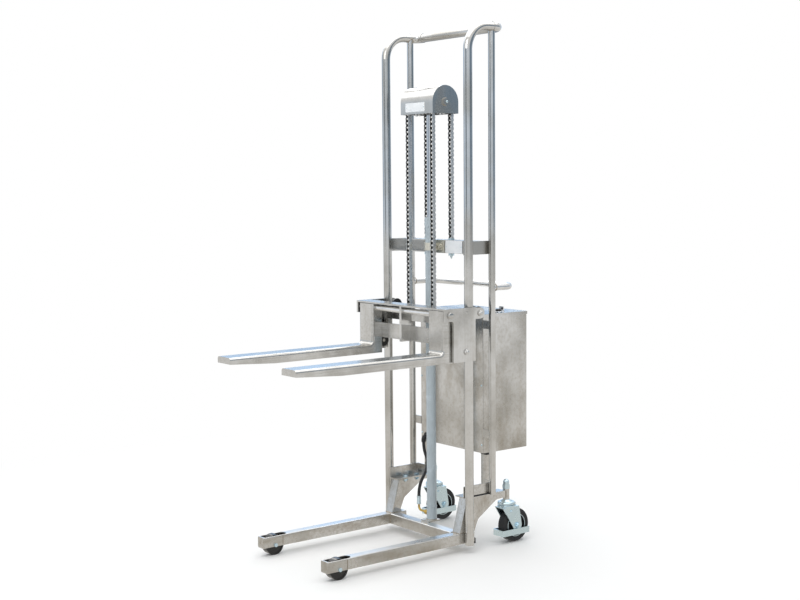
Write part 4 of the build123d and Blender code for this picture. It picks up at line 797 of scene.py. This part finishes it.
class STACKER_OT_chains(bpy.types.Operator):
    """Roller chains: rear strands, the turn over the sprockets, and front strands."""

    bl_idname = "stacker.chains"
    bl_label = "Roller chains"

    def execute(self, context):
        sizes = context.scene.stacker_sizes
        pitch, lift_y, axle_z = sizes.pitch, sizes.lift_y, sizes.axle_z
        radius = pitch / 2 / math.sin(math.pi / sizes.teeth)
        rear_count = round((axle_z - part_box("rear_chains")[0].z) / pitch)
        front_count = round((axle_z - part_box("front_chains")[0].z) / pitch)
        rear_z = axle_z - pitch * np.arange(rear_count, -1, -1)
        rear = np.column_stack([np.full(len(rear_z), lift_y + radius), rear_z])
        angle = 2 * np.pi / sizes.teeth * np.arange(sizes.teeth // 2 + 1)
        over = (lift_y, axle_z) + radius * np.column_stack([np.cos(angle), np.sin(angle)])
        front_z = axle_z - pitch * (np.arange(front_count) + 0.5)
        front = np.column_stack([np.full(front_count, lift_y - radius), front_z])
        wrap = np.concatenate([over, front[:1]])
        strands = (
            ("rear_chain_links", rear, 0, "rear_chains", ("chassis", "head")),
            ("chain_links_over_sprockets", wrap, rear_count, "chain_wraps", None),
            ("front_chain_links", front, rear_count + len(wrap) - 1, "front_chains",
             ("carriage", "head")),
        )
        for name, pins, first, node, ends in strands:
            made = piece(name, chain(sizes, pins, first), "chain", None if ends else "head")
            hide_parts(node)
            if ends:
                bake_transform(made)
        return {"FINISHED"}


class STACKER_OT_welds(bpy.types.Operator):
    """Weld beads of the frame, the handles and the carriage."""

    bl_idname = "stacker.welds"
    bl_label = "Welds"

    def execute(self, context):
        lift_y = context.scene.stacker_sizes.lift_y
        # Straight beads: start, end, width and the way that the section leans.
        seams = [
            ((0.1805, 0.1625, 0.070), (0.1805, 0.2013, 0.070), 0.0042, UP),
            ((0.1805, 0.1619, 0.033), (0.1805, 0.1619, 0.068), 0.0042, ALONG),
            ((0.1815, 0.1709, 0.0702), (0.2200, 0.1709, 0.0702), 0.0040, UP),
            ((0.2207, 0.172, 0.0702), (0.2207, 0.240, 0.0702), 0.0030, UP),
            ((0.2208, 0.3954, 0.166), (0.2208, 0.3954, 0.197), 0.0032, ACROSS),
        ]
        # Where the roller forks meet the legs, and the crossbar and the bases meet the mast tubes.
        seams += [((x, -0.324, 0.033), (x, -0.324, 0.067), 0.0026, ACROSS) for x in (0.2208, 0.1802)]
        seams += [((0.2213, y, low), (0.2213, y, high), 0.0030, ACROSS)
                  for low, high in ((1.075, 1.119), (0.200, 0.237)) for y in (0.2087, 0.1991)]
        beads = [bead(straight(start, end), width, lean) for start, end, width, lean in seams]
        beads.append(bead(self.saddle(), width=0.0028, lean=UP))
        push_handle = hoop((0.233, 0.3308, 0.953), ALONG, radius=0.0125)
        beads.append(bead(push_handle, width=0.0034, lean=ALONG))
        foot = bead(hoop((0.0, lift_y, 0.0752), UP, radius=0.0192), width=0.0036, lean=UP)
        piece("frame_welds", joined([both_sides(*beads), foot]), "weld", "chassis",
              ROUND_TRIM)
        corner = bead(straight((0.254, 0.076, 0.884), (0.254, 0.130, 0.884)), width=0.0036, lean=UP)
        piece("carriage_welds", both_sides(corner), "weld", "carriage", ROUND_TRIM)
        ring = hoop((0.0, lift_y, 0.1258), UP, radius=0.0186)
        ring = bead(ring, width=0.0034, lean=UP, ripple=0.05)
        piece("cylinder_ring", ring, "paint", "chassis", ROUND_TRIM)
        return {"FINISHED"}

    def saddle(self):
        """Line where a rear tube meets the underside of the mast's top run and its elbow.

        z = height of the run - sqrt(radius of the run ^ 2 - distance from its axis ^ 2)."""
        tube_x, tube_y, tube = 0.233, 0.3179, 0.0125
        run_x, run_z, run, elbow = 0.2365, 1.88, 0.016, 0.0175
        angle = np.linspace(0, LAP, 110)
        x = tube_x + tube * np.cos(angle)
        y = tube_y + tube * np.sin(angle)
        radius = np.where(y > tube_y, elbow, run)
        z = run_z - np.sqrt(np.clip(radius ** 2 - (x - run_x) ** 2, 0.0, None))
        return np.column_stack([x, y, z])


class STACKER_OT_folds(bpy.types.Operator):
    """Rounded folds of the gussets, and a dark strip of painted shadow under each mast base."""

    bl_idname = "stacker.folds"
    bl_label = "Folds and seams"

    def execute(self, context):
        runs = (
            ((0.2187, 0.2056, 0.1954), (0.2187, 0.3930, 0.1954)),
            ((0.2187, 0.1724, 0.0705), (0.2187, 0.2071, 0.1960)),
        )
        folds = []
        for low, high in runs:
            route = straight(low, high, step=0.004)
            radius = np.full(len(route), 0.0022)
            radius[[0, -1]] = 0.0
            folds.append(swept(route, radius, ACROSS, steps=12))
        piece("gusset_folds", both_sides(*folds), "handle", "chassis", ROUND_TRIM)
        # A strip in the black rubber finish where there is only shade: painted shadow between the
        # base and the gusset's top fold.
        shadow_strip = rounded((0.2072, 0.1962), (0.3320, 0.2016), radius=0.0015)
        shadow_strip = slab(shadow_strip, low=0.2198, high=0.2218, axis="x")
        piece("base_shadow_strips", both_sides(shadow_strip), "rubber", "chassis", ROUND_TRIM)
        return {"FINISHED"}


class STACKER_OT_plates(bpy.types.Operator):
    """Bare plates on the cowl and the crossbar, each held by two rivets, and the axle's end studs."""

    bl_idname = "stacker.plates"
    bl_label = "Bare plates"

    def execute(self, context):
        sizes = context.scene.stacker_sizes
        # Name, lower and upper corner in (x, z), front and back in y, and body.
        plates = (
            ("cowl_plate", (-0.0635, 1.587), (0.0475, 1.6195), (0.1603, 0.1614), "head"),
            ("crossbar_plate", (0.0545, 1.074), (0.1500, 1.120), (0.2484, 0.2499), "chassis"),
        )
        # From a plate's end to the middle of its rivet.
        inset = 0.005
        for name, low, high, depth, body in plates:
            sheet = slab(rounded(low, high, radius=0.003), *depth, axis="y")
            piece(name, sheet, "enamel", body)
            middle = (low[1] + high[1]) / 2
            rivets = [domed((x, depth[0], middle), AHEAD, radius=0.0022, height=0.0010)
                      for x in (low[0] + inset, high[0] - inset)]
            piece(name + "_rivets", joined(rivets), "zinc", body, ROUND_TRIM)
        tip = (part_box("head_axle")[1].x, sizes.lift_y, sizes.axle_z)
        stud = domed(tip, ACROSS, radius=0.0048, height=0.0030)
        piece("axle_studs", both_sides(stud), "zinc", "head", ROUND_TRIM)
        return {"FINISHED"}


class STACKER_OT_fasteners(bpy.types.Operator):
    """Box screws, pads under the box, nuts of casters and carriage, and rings round the controls."""

    bl_idname = "stacker.fasteners"
    bl_label = "Small fasteners"

    def execute(self, context):
        screws = [domed((0.1745, 0.3179, z), AHEAD, radius=0.0040, height=0.0024)
                  for z in (0.369, 0.589)]
        piece("box_screws", both_sides(*screws), "zinc", "chassis", ROUND_TRIM)
        pad = rounded((0.1505, 0.3328), (0.1830, 0.3652), radius=0.002)
        pad = slab(pad, low=0.3315, high=0.3391, axis="z")
        piece("box_pads", both_sides(pad), "rubber", "chassis")
        for side, name in zip(SIDES, ("left", "right")):
            bolts = []
            for out in SIDES:
                way = (out, 0, 0)
                face = side * CASTER_X + out * YOKE_HALF
                bolts.append(six_sided((face, 0.4082, 0.1194), way, across=0.008, height=0.0028))
                bolts += cap_nut((face, *CASTER_AXLE), way, across=0.0184, height=0.0084)
            piece(f"yoke_bolts_{name}", joined(bolts), "nut", f"{name}_caster")
        nuts = [part for y, z in ((0.2362, 0.868), (0.1716, 0.734))
                for part in cap_nut((CARRIAGE_FACE, y, z), ACROSS, across=0.0194, height=0.0065)]
        piece("carriage_nuts", both_sides(*nuts), "handle", "carriage")
        clip = [(0.0108, 0.0), (0.0142, 0.0), (0.0142, 0.0016), (0.0108, 0.0016)]
        clip = turned(clip, (CARRIAGE_FACE, *FORK_ROD), ACROSS, steps=32)
        rod_tip = CARRIAGE_FACE + 0.0058
        tip = domed((rod_tip, *FORK_ROD), ACROSS, radius=0.0108, height=0.0026)
        piece("fork_rod_ends", both_sides(clip, tip), "handle", "carriage", ROUND_TRIM)
        bezel = [(0.0115, 0.0), (0.0115, 0.0046), (0.0121, 0.0052), (0.0140, 0.0052),
                 (0.0152, 0.0040), (0.0156, 0.0)]
        rings = [turned(bezel, (x, 0.4159, LID_TOP), UP) for x in (0.158, 0.126)]
        piece("button_bezels", joined(rings), "chrome", "chassis")
        collar = [(0.0094, 0.0), (0.0094, 0.0022), (0.0122, 0.0022), (0.0132, 0.0012), (0.0134, 0.0)]
        collar = turned(collar, (0.142, 0.4459, LID_TOP), UP)
        piece("key_collar", collar, "chrome", "chassis")
        return {"FINISHED"}


class STACKER_OT_wheel_rings(bpy.types.Operator):
    """Pale ring on each face of the caster wheels and moulded ribs on the tyres' walls."""

    bl_idname = "stacker.wheel_rings"
    bl_label = "Wheel rings"

    def execute(self, context):
        band = [(0.0402, 0.0), (0.0405, 0.0009), (0.0425, 0.0009), (0.0428, 0.0)]
        angle = np.linspace(0, np.pi, 7)
        rib = np.column_stack([0.0508 - 0.0008 * np.cos(angle), 0.0006 * np.sin(angle)])
        # Name, profile, finish, slot and the angle up to which edges are smooth.
        trims = (
            ("wheel_bands", band, "zinc", "bright_steel", PLAIN_EDGE),
            ("tyre_ribs", rib, "tyre", "tyre_rubber", ROUND_TRIM),
        )
        for side, name in zip(SIDES, ("left", "right")):
            for trim, profile, finish, slot, sharp in trims:
                rings = [turned(profile, (side * CASTER_X + out * WHEEL_HALF, *CASTER_AXLE),
                                (out, 0, 0), steps=64) for out in SIDES]
                piece(f"{trim}_{name}", joined(rings), finish, f"{name}_wheel", sharp)
        return {"FINISHED"}


class STACKER_OT_stage(bpy.types.Operator):
    """Camera, floor, soft lamps and surroundings."""

    bl_idname = "stacker.stage"
    bl_label = "Stage"

    def execute(self, context):
        stage = context.scene.stacker_stage
        self.camera(context, stage)
        self.floor(stage)
        self.lamps(context, stage)
        self.surroundings(context, stage)
        context.scene.view_settings.view_transform = "Standard"
        return {"FINISHED"}

    def camera(self, context, stage):
        """Camera looking along the given azimuth and elevation, rolled about its own axis."""
        turn, tilt, roll = stage.azimuth, stage.elevation, stage.roll
        level = math.cos(tilt)
        back = np.array([math.sin(turn) * level, -math.cos(turn) * level, math.sin(tilt)])
        right = np.cross(-back, UP)
        right = right / np.linalg.norm(right)
        up = np.cross(right, -back)
        rolled_right = math.cos(roll) * right + math.sin(roll) * up
        rolled_up = math.cos(roll) * up - math.sin(roll) * right
        data = bpy.data.cameras.new("camera")
        data.sensor_width = 36.0
        data.sensor_fit = "HORIZONTAL"
        data.lens = stage.lens
        made = bpy.data.objects.new("camera", data)
        turned_axes = Matrix(np.column_stack([rolled_right, rolled_up, back]).tolist()).to_4x4()
        made.matrix_world = Matrix.Translation(stage.camera_place) @ turned_axes
        context.scene.collection.objects.link(made)
        context.scene.camera = made

    def floor(self, stage):
        """Round floor that takes the object's shadow and turns plain white towards its rim."""
        made, tree = blank("studio_floor")
        place = add(tree, "TexCoord").outputs["Object"]
        path = add(tree, "LightPath").outputs
        reach = add(tree, "VectorMath", {0: place}, operation="LENGTH")
        far = ramp(tree, reach, 0.9, 2.4, kind="SMOOTHSTEP")
        direct = maths(tree, "MULTIPLY", path["Is Camera Ray"], far)
        mirror = maths(tree, "MAXIMUM", path["Is Glossy Ray"], path["Is Transmission Ray"])
        share = maths(tree, "MAXIMUM", direct, mirror)
        off = ramp(tree, reach, 1.0, 7.0)
        # The far flag goes on over the floor behind the object, for what metal mirrors.
        towards = add(tree, "VectorMath", {0: place}, operation="NORMALIZE")
        behind = add(tree, "VectorMath", {0: towards, 1: FAR_WAY}, operation="DOT_PRODUCT")
        inside = ramp(tree, behind, *FAR_WIDTH, kind="SMOOTHSTEP")
        cover = maths(tree, "MULTIPLY", inside, off)
        shown = layered(tree, stage.floor_near, (
            (off, stage.floor_far),
            (cover, stage.far_flag),
            (path["Is Camera Ray"], WHITE),
        ))
        matt = add(tree, "BsdfDiffuse", {"Color": opaque(stage.floor)})
        white = add(tree, "Emission", {"Color": shown, "Strength": 1.0})
        mixed = add(tree, "MixShader", {0: share, 1: matt, 2: white})
        add(tree, "OutputMaterial", {"Surface": mixed})
        rings = [(radius, 0.0) for radius in (0.0, 1.0, 3.0, 9.0, 30.0)]
        shell("studio_floor", turned(rings, (0, 0, 0), UP, steps=64), made)

    def lamps(self, context, stage):
        """Large soft panels: place, what they face, size, power in watts and colour."""
        panels = (
            ("panel_over", (0.0, 0.3, 4.6), (0.0, 0.0, 1.0), (6.0, 6.0), 135.0, WHITE),
            ("panel_far", (-4.4, 0.0, 4.5), (0.0, 0.0, 1.4), (4.6, 2.4), 36.0, WHITE),
            ("panel_back", (-4.5, 3.4, 3.9), (0.0, 0.0, 0.5), (5.0, 1.6), 55.0, WHITE),
            ("panel_low", (-5.2, 4.0, 2.15), (0.0, 0.0, 0.1), (5.0, 0.8), 9.0, stage.low_panel),
            ("panel_front", (1.2, -4.6, 3.8), (0.0, 0.0, 0.8), (4.0, 2.6), 60.0, WHITE),
        )
        for name, place, aim, size, power, colour in panels:
            data = bpy.data.lights.new(name, "AREA")
            data.shape = "RECTANGLE"
            data.size, data.size_y = size
            data.energy = power
            data.color = colour
            lamp = bpy.data.objects.new(name, data)
            turn = (Vector(aim) - Vector(place)).to_track_quat("-Z", "Y")
            lamp.matrix_world = Matrix.Translation(place) @ turn.to_matrix().to_4x4()
            context.scene.collection.objects.link(lamp)

    def surroundings(self, context, stage):
        """World that is white to the camera and a plain room to matt surfaces.

        Metal sees a pale horizon and white above, with a blue wall and three low dark flags."""
        world = bpy.data.worlds.new("studio")
        world.use_nodes = True
        tree = world.node_tree
        tree.nodes.clear()
        facing = add(tree, "TexCoord").outputs["Generated"]
        height = add(tree, "SeparateXYZ", {0: facing}).outputs["Z"]
        path = add(tree, "LightPath").outputs
        rise = ramp(tree, height, 0.0, 0.35)
        sky = layered(tree, stage.horizon, [(rise, WHITE)])
        mirrored = maths(tree, "MAXIMUM", path["Is Glossy Ray"], path["Is Transmission Ray"])
        layers = [(mirrored, sky)]
        # Way to the middle, cosines where it starts and is full, heights where it fades, and colour.
        flags = (
            (FAR_WAY, (0.55, 0.80), (0.32, 0.50), stage.blue_wall),
            ((0.738, 0.672, 0.0), (0.707, 0.906), (0.20, 0.34), stage.right_flag),
            (FAR_WAY, FAR_WIDTH, (0.06, 0.125), stage.far_flag),
            (AHEAD, (0.940, 0.985), (0.20, 0.34), stage.front_flag),
        )
        for towards, width, top, colour in flags:
            beside = add(tree, "VectorMath", {0: facing, 1: towards}, operation="DOT_PRODUCT")
            inside = ramp(tree, beside, *width, kind="SMOOTHSTEP")
            below = ramp(tree, height, *top, low=1.0, high=0.0, kind="SMOOTHSTEP")
            layers.append((maths(tree, "MULTIPLY", inside, below), colour))
        layers.append((path["Is Camera Ray"], WHITE))
        seen = layered(tree, stage.room, layers)
        light = add(tree, "Background", {"Color": seen, "Strength": 1.0})
        add(tree, "OutputWorld", {"Surface": light})
        context.scene.world = world


OPERATORS = (
    STACKER_OT_stage,
    STACKER_OT_finishes,
    STACKER_OT_hose,
    STACKER_OT_chains,
    STACKER_OT_welds,
    STACKER_OT_folds,
    STACKER_OT_plates,
    STACKER_OT_fasteners,
    STACKER_OT_wheel_rings,
)

GROUPS = {
    "stacker_sizes": StackerSizes,
    "stacker_finishes": StackerFinishes,
    "stacker_stage": StackerStage,
}


class STACKER_PT_pieces(bpy.types.Panel):
    """Buttons for the stacker's pieces."""

    bl_idname = "STACKER_PT_pieces"
    bl_label = "Electric stacker"
    bl_space_type = "VIEW_3D"
    bl_region_type = "UI"
    bl_category = "Stacker"

    def draw(self, context):
        for kind in OPERATORS:
            self.layout.operator(kind.bl_idname)
        for name, group in GROUPS.items():
            for key in group.__annotations__:
                self.layout.prop(getattr(context.scene, name), key)


def register():
    """Add the classes and the scene's settings."""
    for name, group in GROUPS.items():
        bpy.utils.register_class(group)
        setattr(bpy.types.Scene, name, bpy.props.PointerProperty(type=group))
    for kind in (*OPERATORS, STACKER_PT_pieces):
        bpy.utils.register_class(kind)


def unregister():
    """Take the classes and the scene's settings away again."""
    for kind in reversed((*OPERATORS, STACKER_PT_pieces)):
        bpy.utils.unregister_class(kind)
    for name, group in GROUPS.items():
        delattr(bpy.types.Scene, name)
        bpy.utils.unregister_class(group)


def main():
    """Make every piece in order."""
    register()
    bpy.ops.stacker.stage()
    bpy.ops.stacker.finishes()
    bpy.ops.stacker.hose()
    bpy.ops.stacker.chains()
    bpy.ops.stacker.welds()
    bpy.ops.stacker.folds()
    bpy.ops.stacker.plates()
    bpy.ops.stacker.fasteners()
    bpy.ops.stacker.wheel_rings()


if __name__ == "__main__":
    main()
